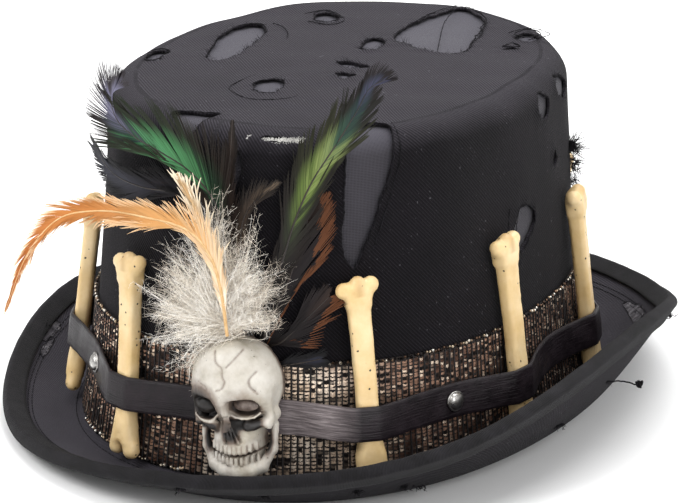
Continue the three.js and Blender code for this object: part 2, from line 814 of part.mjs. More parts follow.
function skullBody() {
  const rings = skullRows.map(({ height, width, depth }) => {
    const ring = [];
    for (let i = 0; i <= skullSides; i += 1) {
      const angle = (i / skullSides) * Math.PI;
      ring.push(new THREE.Vector3(
        (skullWidth / 2) * width * Math.cos(angle),
        height * skullHeight,
        skullDepth * depth * Math.sin(angle) ** 0.8,
      ));
    }
    return ring;
  });
  const start = rings[0][0].clone().add(rings[0][skullSides]).multiplyScalar(0.5);
  const lastRing = rings[rings.length - 1];
  const end = lastRing[0].clone().add(lastRing[skullSides]).multiplyScalar(0.5);
  return toSolid(cigar(start, rings, end));
}

// Hollows of the face: middle and half sizes as shares of the skull's width, height and depth
const skullHollows = [
  { x: -0.25, height: 0.5, depth: 0.9, width: 0.17, tall: 0.1, deep: 0.4 },
  { x: 0.25, height: 0.5, depth: 0.9, width: 0.17, tall: 0.1, deep: 0.4 },
  { x: 0, height: 0.34, depth: 1.02, width: 0.07, tall: 0.08, deep: 0.34 },
  { x: -0.4, height: 0.3, depth: 0.6, width: 0.14, tall: 0.13, deep: 0.3 },
  { x: 0.4, height: 0.3, depth: 0.6, width: 0.14, tall: 0.13, deep: 0.3 },
];

function hollowSolid(hollow) {
  const ball = new THREE.SphereGeometry(1, 10, 6);
  ball.scale(hollow.width * skullWidth, hollow.tall * skullHeight, hollow.deep * skullDepth);
  ball.translate(hollow.x * skullWidth, hollow.height * skullHeight, hollow.depth * skullDepth);
  return toSolid(ball);
}

// The mouth that is cut into the skull, and the teeth that are set in it. Widths, heights and
// depths are shares of the skull's, and the arch is the half width of a row of teeth.
const mouth = { width: 0.42, tall: 0.19, deep: 0.36, height: 0.185, depth: 0.86 };
const teeth = { count: 6, arch: 0.17, width: 0.29, tall: 0.075, deep: 0.2, depth: 0.72, bow: 0.5, turn: 1.4 };
const toothRows = [0.235, 0.14];

function toothRow(height) {
  let row = null;
  for (let i = 0; i < teeth.count; i += 1) {
    const share = (i + 0.5) / teeth.count - 0.5;
    const tooth = new THREE.BoxGeometry(
      (teeth.width * skullWidth) / teeth.count,
      teeth.tall * skullHeight,
      teeth.deep * skullDepth,
    );
    tooth.rotateY(share * teeth.turn);
    tooth.translate(
      share * 2 * teeth.arch * skullWidth,
      height * skullHeight,
      skullDepth * (teeth.depth - teeth.bow * share * share),
    );
    row = row ? row.add(toSolid(tooth)) : toSolid(tooth);
  }
  return row;
}

function skullMouth() {
  const slot = new THREE.BoxGeometry(
    mouth.width * skullWidth,
    mouth.tall * skullHeight,
    mouth.deep * skullDepth,
  );
  slot.translate(0, mouth.height * skullHeight, mouth.depth * skullDepth);
  return toSolid(slot);
}

function addSkull() {
  let skull = skullBody();
  skullHollows.forEach((hollow) => {
    skull = skull.subtract(hollowSolid(hollow));
  });
  skull = skull.subtract(skullMouth());
  toothRows.forEach((height) => {
    skull = skull.add(toothRow(height));
  });
  const geometry = fromSolid(skull);
  const height = skullFoot + skullHeight / 2;
  const { up, round, out } = crownAxes(trimArc, height);
  geometry.translate(0, -skullHeight / 2, 0);
  geometry.applyMatrix4(new THREE.Matrix4().makeBasis(round, up, out));
  const seat = strapLow + strapWall + 3 * gap;
  geometry.translate(...crownPlace(trimArc, height, seat).toArray());
  addPiece('skull', geometry, 0xd9d3c6, 0.5);
}

// Feathers: a quill that runs up behind the skull and a thin vane along a bent shaft
const featherSteps = 12;
const quillShare = 0.2;

function vaneWidth(share, halfWidth, fullest) {
  if (share <= quillShare) return quillWidth / 2;
  const t = (share - quillShare) / (1 - quillShare);
  const peak = (fullest - quillShare) / (1 - quillShare);
  const power = Math.log(0.5) / Math.log(peak);
  return quillWidth / 2 + (halfWidth - quillWidth / 2) * Math.sin(Math.PI * t ** power) ** 0.75;
}

function featherGeometry(places, halfWidth, fullest) {
  const curve = new THREE.CatmullRomCurve3(places.map(({ point }) => point), false, 'centripetal');
  const outward = new THREE.CatmullRomCurve3(places.map(({ out }) => out), false, 'centripetal');
  const rings = [];
  for (let i = 0; i <= featherSteps; i += 1) {
    const share = i / featherSteps;
    const centre = curve.getPoint(share);
    const along = curve.getTangent(share);
    const out = outward.getPoint(share);
    const side = new THREE.Vector3().crossVectors(along, out).normalize();
    const face = new THREE.Vector3().crossVectors(side, along).normalize();
    const width = i === featherSteps ? quillWidth / 2 : vaneWidth(share, halfWidth, fullest);
    rings.push([
      centre.clone().addScaledVector(side, width),
      centre.clone().addScaledVector(face, vaneThickness / 2),
      centre.clone().addScaledVector(side, -width),
      centre.clone().addScaledVector(face, -vaneThickness / 2),
    ]);
  }
  const tip = curve.getPoint(1).addScaledVector(curve.getTangent(1), quillWidth);
  const root = curve.getPoint(0).addScaledVector(curve.getTangent(0), -quillWidth);
  return cigar(root, rings, tip);
}

const quillLift = bandTop + gap + vaneThickness / 2;
const skullTop = skullFoot + skullHeight;

function sprayPoint(arc, height, lift) {
  return {
    point: crownPlace(trimArc + arc, height, lift),
    out: crownAxes(trimArc + arc, Math.min(height, crownHeight)).out,
  };
}

// A place of a feather that stands against the crown
function sprayPlace({ arc, height, lift }) {
  return sprayPoint(arc * crownHeight, height * crownHeight, lift * crownHeight);
}

// A place of a feather or a lock that sits on the skull
function skullPlace({ arc, height, lift }) {
  return sprayPoint(arc * skullHeight, skullTop + height * skullHeight, lift * skullHeight);
}

function quillPlace(quill) {
  const arc = trimArc + quill * quillPitch;
  return { point: crownPlace(arc, sprayFoot, quillLift), out: crownAxes(arc, sprayFoot).out };
}

function addFeathers() {
  for (const { name, quill, bends, halfWidth, fullest, color } of feathers) {
    const places = [quillPlace(quill), ...bends.map(sprayPlace)];
    addPiece(name, featherGeometry(places, halfWidth * crownHeight, fullest), color, 0.4);
  }
  for (const { name, bends, halfWidth, fullest, color } of hackles) {
    addPiece(name, featherGeometry(bends.map(skullPlace), halfWidth * skullHeight, fullest), color, 0.6);
  }
}

// Down: locks that taper from one root to their tips, joined to a soft core
const lockSections = [0.15, 0.5, 0.85];
const lockSides = 6;

// Part of a half wave that a lock's thickness follows from its root to its tip
const lockBulge = [0.25, 0.85];

function lockSolid(lock) {
  const root = skullPlace({ ...downRoot, lift: downLift });
  const tip = skullPlace({ ...lock, lift: downLift });
  const along = tip.point.clone().sub(root.point).normalize();
  const side = new THREE.Vector3().crossVectors(along, root.out).normalize();
  const face = new THREE.Vector3().crossVectors(side, along).normalize();
  const rings = lockSections.map((share) => {
    const { point } = skullPlace({
      arc: THREE.MathUtils.lerp(downRoot.arc, lock.arc, share),
      height: THREE.MathUtils.lerp(downRoot.height, lock.height, share),
      lift: downLift,
    });
    const radius = lock.thick * skullHeight * Math.sin(Math.PI * THREE.MathUtils.lerp(...lockBulge, share));
    const ring = [];
    for (let i = 0; i < lockSides; i += 1) {
      const angle = (i / lockSides) * tau;
      ring.push(point.clone()
        .addScaledVector(side, radius * Math.cos(angle))
        .addScaledVector(face, (radius / 2) * Math.sin(angle)));
    }
    return ring;
  });
  return toSolid(cigar(root.point, rings, tip.point));
}

function addDown() {
  let down = null;
  for (const lock of downLocks) {
    const solid = lockSolid(lock);
    down = down ? down.add(solid) : solid;
  }
  addPiece('down_plume', fromSolid(down), 0xd8d2c6, 0.95);
}

addCrown();
addBrim();
addBand();
addBones();
addStrap();
addStuds();
addSkull();
addFeathers();
addDown();

export default group;
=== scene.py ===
"""Looks of a worn black costume top hat with bones, a skull and a spray of feathers.

Lengths in the tables are in millimetres, in the frame of the CAD part: +Z up, -Y to the
front and +X to the wearer's left. Meshes are scaled to metres when they are made.
"""

import math

import bpy
import numpy as np
from mathutils import Matrix, Vector


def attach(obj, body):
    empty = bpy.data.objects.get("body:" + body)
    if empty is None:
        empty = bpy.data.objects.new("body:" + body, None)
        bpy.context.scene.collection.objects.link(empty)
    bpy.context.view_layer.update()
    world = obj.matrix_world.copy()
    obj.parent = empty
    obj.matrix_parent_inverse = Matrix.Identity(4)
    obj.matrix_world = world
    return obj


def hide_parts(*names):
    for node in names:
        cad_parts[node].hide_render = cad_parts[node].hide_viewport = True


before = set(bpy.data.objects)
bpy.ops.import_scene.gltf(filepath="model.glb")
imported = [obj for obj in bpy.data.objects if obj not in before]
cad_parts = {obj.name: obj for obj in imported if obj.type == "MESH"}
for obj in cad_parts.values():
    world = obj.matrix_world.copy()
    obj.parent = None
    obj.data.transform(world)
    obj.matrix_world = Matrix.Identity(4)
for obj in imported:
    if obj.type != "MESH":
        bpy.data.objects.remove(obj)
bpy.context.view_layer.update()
rng = np.random.default_rng(11)
TAU = 2 * math.pi

# Sizes that the CAD part has too
CROWN_WIDTH, CROWN_LENGTH, CROWN_HEIGHT = 86.0, 108.5, 128.0
JUNCTION = 4.5
EDGE_RADIUS = 10.0
TOP_DOME = 2.0
BAND_HEIGHT = 46.0
STRAP_HEIGHT, STRAP_WALL = 26.5, 1.2
TRIM_ARC = 15.0
BONE_PITCH = 67.0
FIRST_BONE = TRIM_ARC + 0.64 * BONE_PITCH
BONE_LENGTH = 78.5
SKULL_FOOT, SKULL_HEIGHT = 7.5, 49.0
SKULL_TOP = SKULL_FOOT + SKULL_HEIGHT
GAP = 0.3
BRIM_ROLL = 40.6
BRIM_WALL = 2.5
# The photo's width and the camera's focal length in its pixels, and how strong a bump is in metres
PHOTO_WIDTH, FOCAL_PIXELS = 680, 3235.3
BUMP_DEPTH = 0.0005


# Surfaces


def signed_power(value, exponent):
    return np.sign(value) * np.abs(value) ** exponent


def oval(angle, half_width, half_length, fullness):
    exponent = 2 / fullness
    return (
        half_width * signed_power(np.sin(angle), exponent),
        -half_length * signed_power(np.cos(angle), exponent),
    )


fine_angles = np.linspace(0, TAU, 5761)
fine_x, fine_y = oval(fine_angles, CROWN_WIDTH, CROWN_LENGTH, 2.24)
fine_arcs = np.concatenate([[0], np.cumsum(np.hypot(np.diff(fine_x), np.diff(fine_y)))])
PERIMETER = fine_arcs[-1]


def angle_at(arc):
    turns = np.floor(np.asarray(arc, float) / PERIMETER)
    return np.interp(arc - turns * PERIMETER, fine_arcs, fine_angles) + turns * TAU


def flare(height):
    return 3 * np.maximum(0, 1 - height / 50) ** 2


def crown_at(angle, height, lift):
    share = height / CROWN_HEIGHT
    spread = flare(height) + lift
    x, y = oval(
        angle,
        CROWN_WIDTH * (1 - 0.1 * share) + spread,
        CROWN_LENGTH * (1 - 0.06 * share) + spread,
        2.24,
    )
    x, y, z = np.broadcast_arrays(x - 2 * share, y, JUNCTION + height)
    return np.stack([x, y, z], -1)


def place(arc, height, lift):
    return crown_at(angle_at(arc), np.asarray(height, float), lift)


def unit(vector):
    return vector / np.maximum(np.linalg.norm(vector, axis=-1, keepdims=True), 1e-9)


def axes(arc, height):
    """Directions round, up and out on the crown."""
    up = unit(place(arc, height + 1.0, 0) - place(arc, height, 0))
    turn = unit(place(arc + 1.0, height, 0) - place(arc - 1.0, height, 0))
    return turn, up, unit(np.cross(turn, up))


# Heights round the brim, from the front towards the wearer's left
BRIM_TABLE = {
    "rise": (0.25, 0.51, 1.0, 0.44, 0.25, 0.09, 0.42, 0.04),
    "foot": (0, 0.06, 0.16, 0.06, 0, 0, 0.06, 0),
    "dip": (1, 0.4, 0.1, 0.5, 1, 1, 0.5, 1),
    "flat": (0.12, 0.04, 0.26, 0.15, 0.34, 0.35, 0.2, 0.25),
}


def around_brim(column, angle):
    table = np.array(BRIM_TABLE[column], float)
    count = len(table)
    at = np.asarray(angle, float) / TAU * count % count
    i = np.floor(at).astype(int) % count
    t = at - np.floor(at)
    before, here, after, last = (table[(i + k) % count] for k in (-1, 0, 1, 2))
    bend = 2 * before - 5 * here + 4 * after - last
    swing = 3 * (here - after) + last - before
    return here + 0.5 * t * (after - before + t * (bend + t * swing))


def foot_rise(angle):
    return BRIM_ROLL * around_brim("foot", angle)


def waves(points, size, seed, octaves=3):
    """Smooth noise from sums of sines, from about -1 to 1."""
    local = np.random.default_rng(seed)
    total = np.zeros(points.shape[:-1])
    weight = 0.0
    for octave in range(octaves):
        for _ in range(4):
            direction = unit(local.normal(size=3))
            push = local.uniform(0, TAU)
            stretch = TAU / (size * local.uniform(0.7, 1.4) / 2**octave)
            total += np.sin(points @ direction * stretch + push) / 2**octave
            weight += 0.5 / 2**octave
    return total / weight


# Meshes and materials


def add_mesh(name, points, faces, material, replaces=(), slot=None, uvs=None, values=None):
    """A mesh piece from arrays, in millimetres. Faces are one array of triangles or quads, or several."""
    mesh = bpy.data.meshes.new(name)
    groups = faces if isinstance(faces, list) else [faces]
    groups = [np.asarray(g, np.int32) for g in groups if len(g)]
    corners = np.concatenate([g.ravel() for g in groups])
    sizes = np.concatenate([np.full(len(g), g.shape[1], np.int32) for g in groups])
    points = np.asarray(points, float).reshape(-1, 3)
    mesh.vertices.add(len(points))
    mesh.vertices.foreach_set("co", (points * 0.001).astype(np.float32).ravel())
    mesh.loops.add(len(corners))
    mesh.loops.foreach_set("vertex_index", corners)
    mesh.polygons.add(len(sizes))
    starts = np.concatenate([[0], np.cumsum(sizes)[:-1]]).astype(np.int32)
    mesh.polygons.foreach_set("loop_start", starts)
    mesh.polygons.foreach_set("loop_total", sizes)
    mesh.update(calc_edges=True)
    mesh.polygons.foreach_set("use_smooth", np.ones(len(sizes), bool))
    if uvs is not None:
        layer = mesh.uv_layers.new(name="UVMap")
        layer.data.foreach_set("uv", np.asarray(uvs, np.float32)[corners].ravel())
    for key, value in (values or {}).items():
        attribute = mesh.attributes.new(key, "FLOAT", "POINT")
        attribute.data.foreach_set("value", np.asarray(value, np.float32).ravel())
    mesh.validate()
    mesh.materials.append(material)
    piece = bpy.data.objects.new(name, mesh)
    bpy.context.scene.collection.objects.link(piece)
    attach(piece, "root")
    if replaces:
        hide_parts(*replaces)
    return piece


def grid_faces(rows, columns, wrap_columns=False, wrap_rows=False):
    """Quads over a grid of points that is stored row by row."""
    i = np.arange(rows if wrap_rows else rows - 1)[:, None]
    j = np.arange(columns if wrap_columns else columns - 1)[None, :]
    below, right = (i + 1) % rows, (j + 1) % columns
    quads = np.stack(
        [
            i * columns + j + 0 * right,
            i * columns + right,
            below * columns + right,
            below * columns + j,
        ],
        -1,
    )
    return quads.reshape(-1, 4)


class Parts:
    """Gathers small meshes into one."""

    def __init__(self):
        self.points, self.faces, self.uvs, self.values, self.count = [], [], [], [], 0

    def add(self, points, faces, uvs=None, value=None):
        points = np.asarray(points, float).reshape(-1, 3)
        self.faces.append(np.asarray(faces) + self.count)
        self.points.append(points)
        self.uvs.append(np.zeros((len(points), 2)) if uvs is None else np.asarray(uvs).reshape(-1, 2))
        even = np.ndim(value) == 0
        self.values.append(np.full(len(points), value or 0.0) if even else np.ravel(value))
        self.count += len(points)

    def build(self, name, material, **options):
        return add_mesh(
            name,
            np.concatenate(self.points),
            self.faces,
            material,
            uvs=np.concatenate(self.uvs),
            values={"tone": np.concatenate(self.values)},
            **options,
        )


def tubes(paths, radii, sides):
    """Tubes along many paths at once. Paths are (count, steps, 3), radii (count, steps)."""
    paths = np.asarray(paths, float)
    count, steps, _ = paths.shape
    along = unit(np.gradient(paths, axis=1))
    reference = np.where(np.abs(along[..., 2:3]) > 0.85, [[[1.0, 0, 0]]], [[[0, 0, 1.0]]])
    side = unit(np.cross(along, reference))
    face = np.cross(side, along)
    turn = np.arange(sides) / sides * TAU
    radii = np.broadcast_to(np.asarray(radii, float), (count, steps))[..., None, None]
    ring = (
        side[:, :, None, :] * np.cos(turn)[None, None, :, None]
        + face[:, :, None, :] * np.sin(turn)[None, None, :, None]
    )
    points = paths[:, :, None, :] + ring * radii
    one = grid_faces(steps, sides, wrap_columns=True)
    faces = (one[None] + np.arange(count)[:, None, None] * steps * sides).reshape(-1, 4)
    return points.reshape(-1, 3), faces


def ribbons(paths, across, widths):
    """Flat ribbons along many paths. across is the direction of their width."""
    paths = np.asarray(paths, float)
    count, steps, _ = paths.shape
    half = np.asarray(across) * np.asarray(widths)[..., None] / 2
    points = np.stack([paths - half, paths + half], 2)
    one = grid_faces(steps, 2)
    faces = (one[None] + np.arange(count)[:, None, None] * steps * 2).reshape(-1, 4)
    return points.reshape(-1, 3), faces


def srgb(text):
    values = [int(text[i : i + 2], 16) / 255 for i in (0, 2, 4)]
    return tuple(v / 12.92 if v <= 0.04045 else ((v + 0.055) / 1.055) ** 2.4 for v in values) + (1,)


class Look:
    """A material and short calls for its nodes."""

    def __init__(self, name, color, rough, metallic=0.0):
        self.material = bpy.data.materials.new(name)
        self.material.use_nodes = True
        self.tree = self.material.node_tree
        self.shader = self.tree.nodes["Principled BSDF"]
        self.put("Base Color", srgb(color))
        self.put("Roughness", rough)
        self.put("Metallic", metallic)

    def put(self, socket, value):
        self.link(self.shader.inputs[socket], value)

    def link(self, socket, value):
        if hasattr(value, "is_linked"):
            self.tree.links.new(value, socket)
        else:
            socket.default_value = value

    def node(self, kind, out=0, settings=None, **inputs):
        made = self.tree.nodes.new("ShaderNode" + kind)
        for key, value in (settings or {}).items():
            setattr(made, key, value)
        for key, value in inputs.items():
            self.link(made.inputs[int(key[1:]) if key[1:].isdigit() else key], value)
        return made.outputs[out]

    def uv(self):
        return self.node("TexCoord", "UV")

    def place(self):
        return self.node("TexCoord", "Object")

    def value(self, name):
        return self.node("Attribute", "Fac", {"attribute_name": name})

    def noise(self, vector, scale, detail, rough):
        return self.node("TexNoise", "Fac", Vector=vector, Scale=scale, Detail=detail, Roughness=rough)

    def math(self, operation, a, b=0.0, c=0.0):
        return self.node("Math", 0, {"operation": operation}, i0=a, i1=b, i2=c)

    def ramp(self, factor, stops):
        made = self.tree.nodes.new("ShaderNodeValToRGB")
        self.link(made.inputs[0], factor)
        elements = made.color_ramp.elements
        while len(elements) < len(stops):
            elements.new(0.5)
        for element, (at, color) in zip(elements, stops):
            element.position = at
            element.color = srgb(color) if isinstance(color, str) else (color, color, color, 1)
        return made.outputs[0]

    def mix(self, factor, a, b):
        made = self.tree.nodes.new("ShaderNodeMix")
        made.data_type = "RGBA"
        self.link(made.inputs[0], factor)
        self.link(made.inputs[6], srgb(a) if isinstance(a, str) else a)
        self.link(made.inputs[7], srgb(b) if isinstance(b, str) else b)
        return made.outputs[2]

    def bump(self, height, strength):
        made = self.tree.nodes.new("ShaderNodeBump")
        self.link(made.inputs["Height"], height)
        made.inputs["Strength"].default_value = strength
        made.inputs["Distance"].default_value = BUMP_DEPTH
        self.put("Normal", made.outputs[0])

    def stripes(self, vector, direction, scale, distortion=0.0):
        settings = {"wave_type": "BANDS", "bands_direction": direction}
        return self.node("TexWave", "Fac", settings, Vector=vector, Scale=scale, Distortion=distortion)


def cloth_look(name, dark, light, painted_top_light):
    """Twill with fine slanted ribs, painted top light where it faces up, and pale lint. The UV is in
    millimetres.
    """
    look = Look(name, dark, 0.95)
    uv = look.uv()
    ribs = look.stripes(uv, "DIAGONAL", 0.42, 0.4)
    threads = look.stripes(uv, "X", 1.1)
    weave = look.math("MULTIPLY_ADD", ribs, 0.75, look.math("MULTIPLY", threads, 0.25))
    cloud = look.noise(look.place(), 22, 5, 0.6)
    base = look.mix(look.ramp(cloud, [(0.35, 0.0), (0.75, 1.0)]), dark, light)
    facing = look.node("SeparateXYZ", 2, Vector=look.node("NewGeometry", "Normal"))
    # Painted top light: this mask turns the cloth paler where it faces up, a little patchy with the cloud
    # noise.
    worn = look.math("MULTIPLY_ADD", cloud, 0.5, look.math("MULTIPLY", facing, 0.75))
    base = look.mix(look.ramp(worn, [(0.45, 0.0), (1.05, 1.0)]), base, painted_top_light)
    base = look.mix(look.ramp(weave, [(0.35, 0.6), (0.75, 0.0)]), base, "060507")
    base = look.mix(look.ramp(weave, [(0.8, 0.0), (1.0, 0.22)]), base, "4a4650")
    lint = look.ramp(look.noise(look.place(), 900, 2, 0.5), [(0.7, 0.0), (0.76, 1.0)])
    patchy = look.ramp(look.noise(look.place(), 45, 2, 0.5), [(0.42, 0.03), (0.65, 0.35)])
    base = look.mix(look.math("MULTIPLY", lint, patchy), base, "a09ea6")
    look.put("Base Color", base)
    look.put("Specular IOR Level", 0.12)
    look.put("Sheen Weight", 0.03)
    look.put("Sheen Roughness", 0.5)
    look.bump(look.math("MULTIPLY_ADD", weave, 0.8, look.noise(look.place(), 700, 3, 0.6)), 0.7)
    return look.material


# The last colour of each is the painted top light where the cloth faces up.
CLOTH = cloth_look("crown_twill", "0c0a0d", "161217", "3a373d")
BRIM_CLOTH = cloth_look("brim_twill", "141115", "242126", "46434a")


def thread_material(name, dark, light):
    look = Look(name, dark, 0.9)
    look.put(
        "Base Color", look.ramp(look.noise(look.place(), 400, 2, 0.5), [(0.35, dark), (0.7, light)])
    )
    look.put("Specular IOR Level", 0.15)
    look.bump(look.noise(look.place(), 3000, 2, 0.5), 0.3)
    return look.material


FRAY = thread_material("frayed_thread", "0b0a0c", "1f1d22")
PALE_FRAY = thread_material("pale_thread", "a8a6a3", "d5d3ce")


def underlayer_look():
    look = Look("grey_mesh_cloth", "2b2a33", 0.75)
    uv = look.uv()
    net = look.math("MAXIMUM", look.stripes(uv, "X", 0.55), look.stripes(uv, "Y", 0.55))
    cloudy = look.noise(look.place(), 60, 4, 0.6)
    base = look.mix(look.ramp(cloudy, [(0.3, 0.0), (0.75, 1.0)]), "161418", "28262c")
    # Painted top light: the mesh turns paler where it faces up.
    facing = look.node("SeparateXYZ", 2, Vector=look.node("NewGeometry", "Normal"))
    base = look.mix(look.ramp(facing, [(0.3, 0.0), (0.95, 0.7)]), base, "383641")
    look.put("Base Color", look.mix(look.ramp(net, [(0.72, 0.0), (0.97, 0.6)]), base, "4f4c54"))
    look.put("Specular IOR Level", 0.3)
    look.put("Sheen Weight", 0.08)
    look.bump(net, 0.5)
    return look.material


def binding_look():
    look = Look("grosgrain", "121114", 0.85)
    ribs = look.stripes(look.uv(), "X", 0.62)
    worn = look.noise(look.place(), 120, 4, 0.6)
    base = look.mix(look.ramp(worn, [(0.4, 0.0), (0.8, 1.0)]), "0f0d10", "242227")
    look.put("Base Color", look.mix(look.ramp(ribs, [(0.1, 0.7), (0.5, 0.0)]), base, "050405"))
    look.put("Specular IOR Level", 0.2)
    look.put("Sheen Weight", 0.04)
    look.bump(look.math("MULTIPLY_ADD", ribs, 1.0, look.math("MULTIPLY", worn, 0.5)), 0.7)
    return look.material


GREY_MESH = underlayer_look()
BINDING = binding_look()

# Tears in the crown cover. On the side a point is an arc from the front towards the wearer's
# left and a height; on the top it is x and y. Each is a closed outline.
SIDE_TEARS = [
    [
        (54, 128), (60, 134), (68, 135), (74, 131), (72, 118), (66, 102), (60, 87), (56, 80), (52, 86),
        (52, 104),
    ],
    [(-27, 131), (-17, 136), (-6, 137), (-9, 129), (-12, 121), (-16, 125)],
    [(11, 121.5), (12.6, 114), (10.6, 106), (8.6, 114)],
    [(14, 125.6), (25, 125.1), (36, 126.4), (25, 127)],
    [(165, 124), (173, 120), (169, 114), (160, 118)],
    [(189, 125), (201, 121), (198, 115), (186, 119)],
    [(178, 100), (182, 95), (176, 93), (175, 97)],
    [(142, 86), (151, 85), (155, 80), (148, 73), (141, 70), (137, 76)],
    [(262, 96), (275, 99), (280, 88), (270, 79), (264, 86)],
    [(372, 78), (384, 84), (388, 70), (378, 60)],
    [(455, 110), (470, 113), (473, 101), (460, 99)],
]
TOP_TEARS = [
    [(-45, -27), (-54, -4), (-57, 18), (-52, 27), (-46, 22), (-40, 4), (-36, -20), (-39, -29)],
    [(-64, -41), (-68, -27), (-63, -25), (-60, -38)],
    [(-13, -50), (-12, -43), (-4, -44), (-1, -55), (-7, -59)],
    [(-40, 53), (-36, 57), (-28, 50), (-29, 43), (-35, 43)],
    [(-2, 16), (-3, 26), (3, 26), (6, 14), (3, 9)],
    [(5, 31), (0, 62), (4, 89), (15, 86), (25, 72), (31, 48), (35, 28), (27, 22), (14, 25)],
    [(41, 64), (43, 72), (50, 69), (47, 60)],
    [(45, 44), (46, 51), (50, 47)],
    [(2, -14), (5, -9), (14, -10), (11, -17)],
    [(9, -29), (11, -24), (16, -25), (14, -31)],
]
# Sewn or cut lines beside the tears, on the top and on the side
TOP_LINES = [
    [(-47, 30), (-41, 27), (-33, 15), (-27, -8), (-31, -24)],
    [(-20, -51), (-17, -37), (2, -40), (7, -57), (-5, -67), (-18, -60), (-20, -51)],
    [(-6, 12), (-8, 28), (2, 31), (9, 16), (6, 5), (-4, 7), (-6, 12)],
    [(27, 22), (19, 42), (10, 66), (5, 88)],
    [(-43, 50), (-38, 59), (-26, 50), (-27, 40), (-37, 40)],
    [(0, -16), (5, -7), (16, -9), (12, -19)],
    [(38, 64), (43, 75), (53, 70), (49, 58)],
]
SIDE_LINES = [
    [(-4, 136), (2, 131), (1, 122), (-2, 113)],
    [(76, 133), (75, 118), (69, 101), (63, 86)],
    [(134, 88), (133, 76), (140, 67)],
]


def smooth_outline(points, step=1.0, closed=True):
    """Points about a step apart on a smooth curve through the given ones."""
    points = np.asarray(points, float)
    count = len(points)
    spans = count if closed else count - 1
    index = np.arange(-1, 3)
    out = []
    for i in range(spans):
        picks = (i + index) % count if closed else np.clip(i + index, 0, count - 1)
        a, b, c, d = points[picks]
        steps = max(2, int(np.linalg.norm(c - b) / step))
        t = np.arange(steps)[:, None] / steps
        out.append(
            0.5 * (
                2 * b
                + (c - a) * t
                + (2 * a - 5 * b + 4 * c - d) * t**2
                + (3 * b - a - 3 * c + d) * t**3
            )
        )
    if not closed:
        out.append(points[-1:])
    return np.concatenate(out)


def ragged(outline, amount, seed):
    """The outline with a torn, uneven edge."""
    local = np.random.default_rng(seed)
    count = len(outline)
    normal = np.roll(outline, -1, 0) - np.roll(outline, 1, 0)
    normal = unit(np.stack([normal[:, 1], -normal[:, 0]], -1))
    wobble = np.zeros(count)
    for waves_round in (3, 5, 8, 13, 21):
        wobble += np.sin(
            np.arange(count) / count * TAU * waves_round + local.uniform(0, TAU)
        ) / waves_round**0.5
    return outline + normal * (amount * (wobble + local.normal(0, 0.35, count)))[:, None]


def outline_distance(points, outline):
    """Distance to a closed outline, negative inside it."""
    best = np.full(len(points), 1e9)
    inside = np.zeros(len(points), bool)
    low, high = outline.min(0) - 12, outline.max(0) + 12
    near = np.all((points >= low) & (points <= high), axis=1)
    found = points[near]
    ends = np.roll(outline, -1, 0)
    distance = np.full(len(found), 1e9)
    within = np.zeros(len(found), bool)
    for a, b in zip(outline, ends):
        ab = b - a
        t = np.clip(((found - a) @ ab) / max(ab @ ab, 1e-9), 0, 1)
        distance = np.minimum(distance, np.linalg.norm(found - a - t[:, None] * ab, axis=1))
        crosses = (a[1] > found[:, 1]) != (b[1] > found[:, 1])
        at = (b[0] - a[0]) * (found[:, 1] - a[1]) / (b[1] - a[1] if b[1] != a[1] else 1e-9) + a[0]
        within ^= crosses & (found[:, 0] < at)
    best[near], inside[near] = distance, within
    return np.where(inside, -best, best)


def clip_mesh(points, triangles, distance, extra):
    """Cuts away where the distance is negative. extra are columns carried to the new points."""
    keep = distance > 0
    kept = keep[triangles]
    whole = triangles[kept.all(1)]
    cut = triangles[kept.any(1) & ~kept.all(1)]
    start = len(points)
    edges = {}
    new_points, new_extra, faces, rim = [], [], [], []

    def crossing(a, b):
        key = (min(a, b), max(a, b))
        if key not in edges:
            t = distance[a] / (distance[a] - distance[b])
            edges[key] = start + len(new_points)
            new_points.append(points[a] + t * (points[b] - points[a]))
            new_extra.append(extra[a] + t * (extra[b] - extra[a]))
        return edges[key]

    for triangle in cut:
        flags = keep[triangle]
        if flags.sum() == 1:
            a, b, c = np.roll(triangle, -int(np.argmax(flags)))
            p, q = crossing(a, b), crossing(a, c)
            faces.append((a, p, q))
            rim.append((p, q))
        else:
            a, b, c = np.roll(triangle, -int(np.argmin(flags)))
            p, q = crossing(a, b), crossing(a, c)
            faces += [(p, b, c), (p, c, q)]
            rim.append((q, p))
    points = np.concatenate([points, np.array(new_points).reshape(-1, 3)])
    extra = np.concatenate([extra, np.array(new_extra).reshape(-1, extra.shape[1])])
    return points, np.concatenate([whole, np.array(faces, int).reshape(-1, 3)]), extra, np.array(rim)


def crown_surface(arcs, along, lift):
    """Points on the crown: along runs up the side, over the rounded edge and then to the middle."""
    edge_start = CROWN_HEIGHT - EDGE_RADIUS
    radius = EDGE_RADIUS + lift
    round_end = edge_start + EDGE_RADIUS * math.pi / 2
    angle = angle_at(arcs)
    turn = np.clip((along - edge_start) / EDGE_RADIUS, 0, math.pi / 2)
    height = np.minimum(along, edge_start) + radius * np.sin(turn)
    points = crown_at(angle, height, lift - radius * (1 - np.cos(turn)))
    share = np.clip((along - round_end) / 85.0, 0, 1)[..., None]
    centre = np.array([-2.0, 0, 0]) + points * [0, 0, 1]
    points = points + (centre - points) * share
    points[..., 2] += TOP_DOME * (1 - (1 - share[..., 0]) ** 2)
    return points


ROUND_END = CROWN_HEIGHT - EDGE_RADIUS + EDGE_RADIUS * math.pi / 2
COLUMNS = 400
crown_arcs = np.arange(COLUMNS) / COLUMNS * PERIMETER
side_rows = np.linspace(0, ROUND_END, 88)
top_rows = ROUND_END + 85.0 * np.linspace(0, 1, 56)[1:-1]
rows = np.concatenate([side_rows, top_rows])


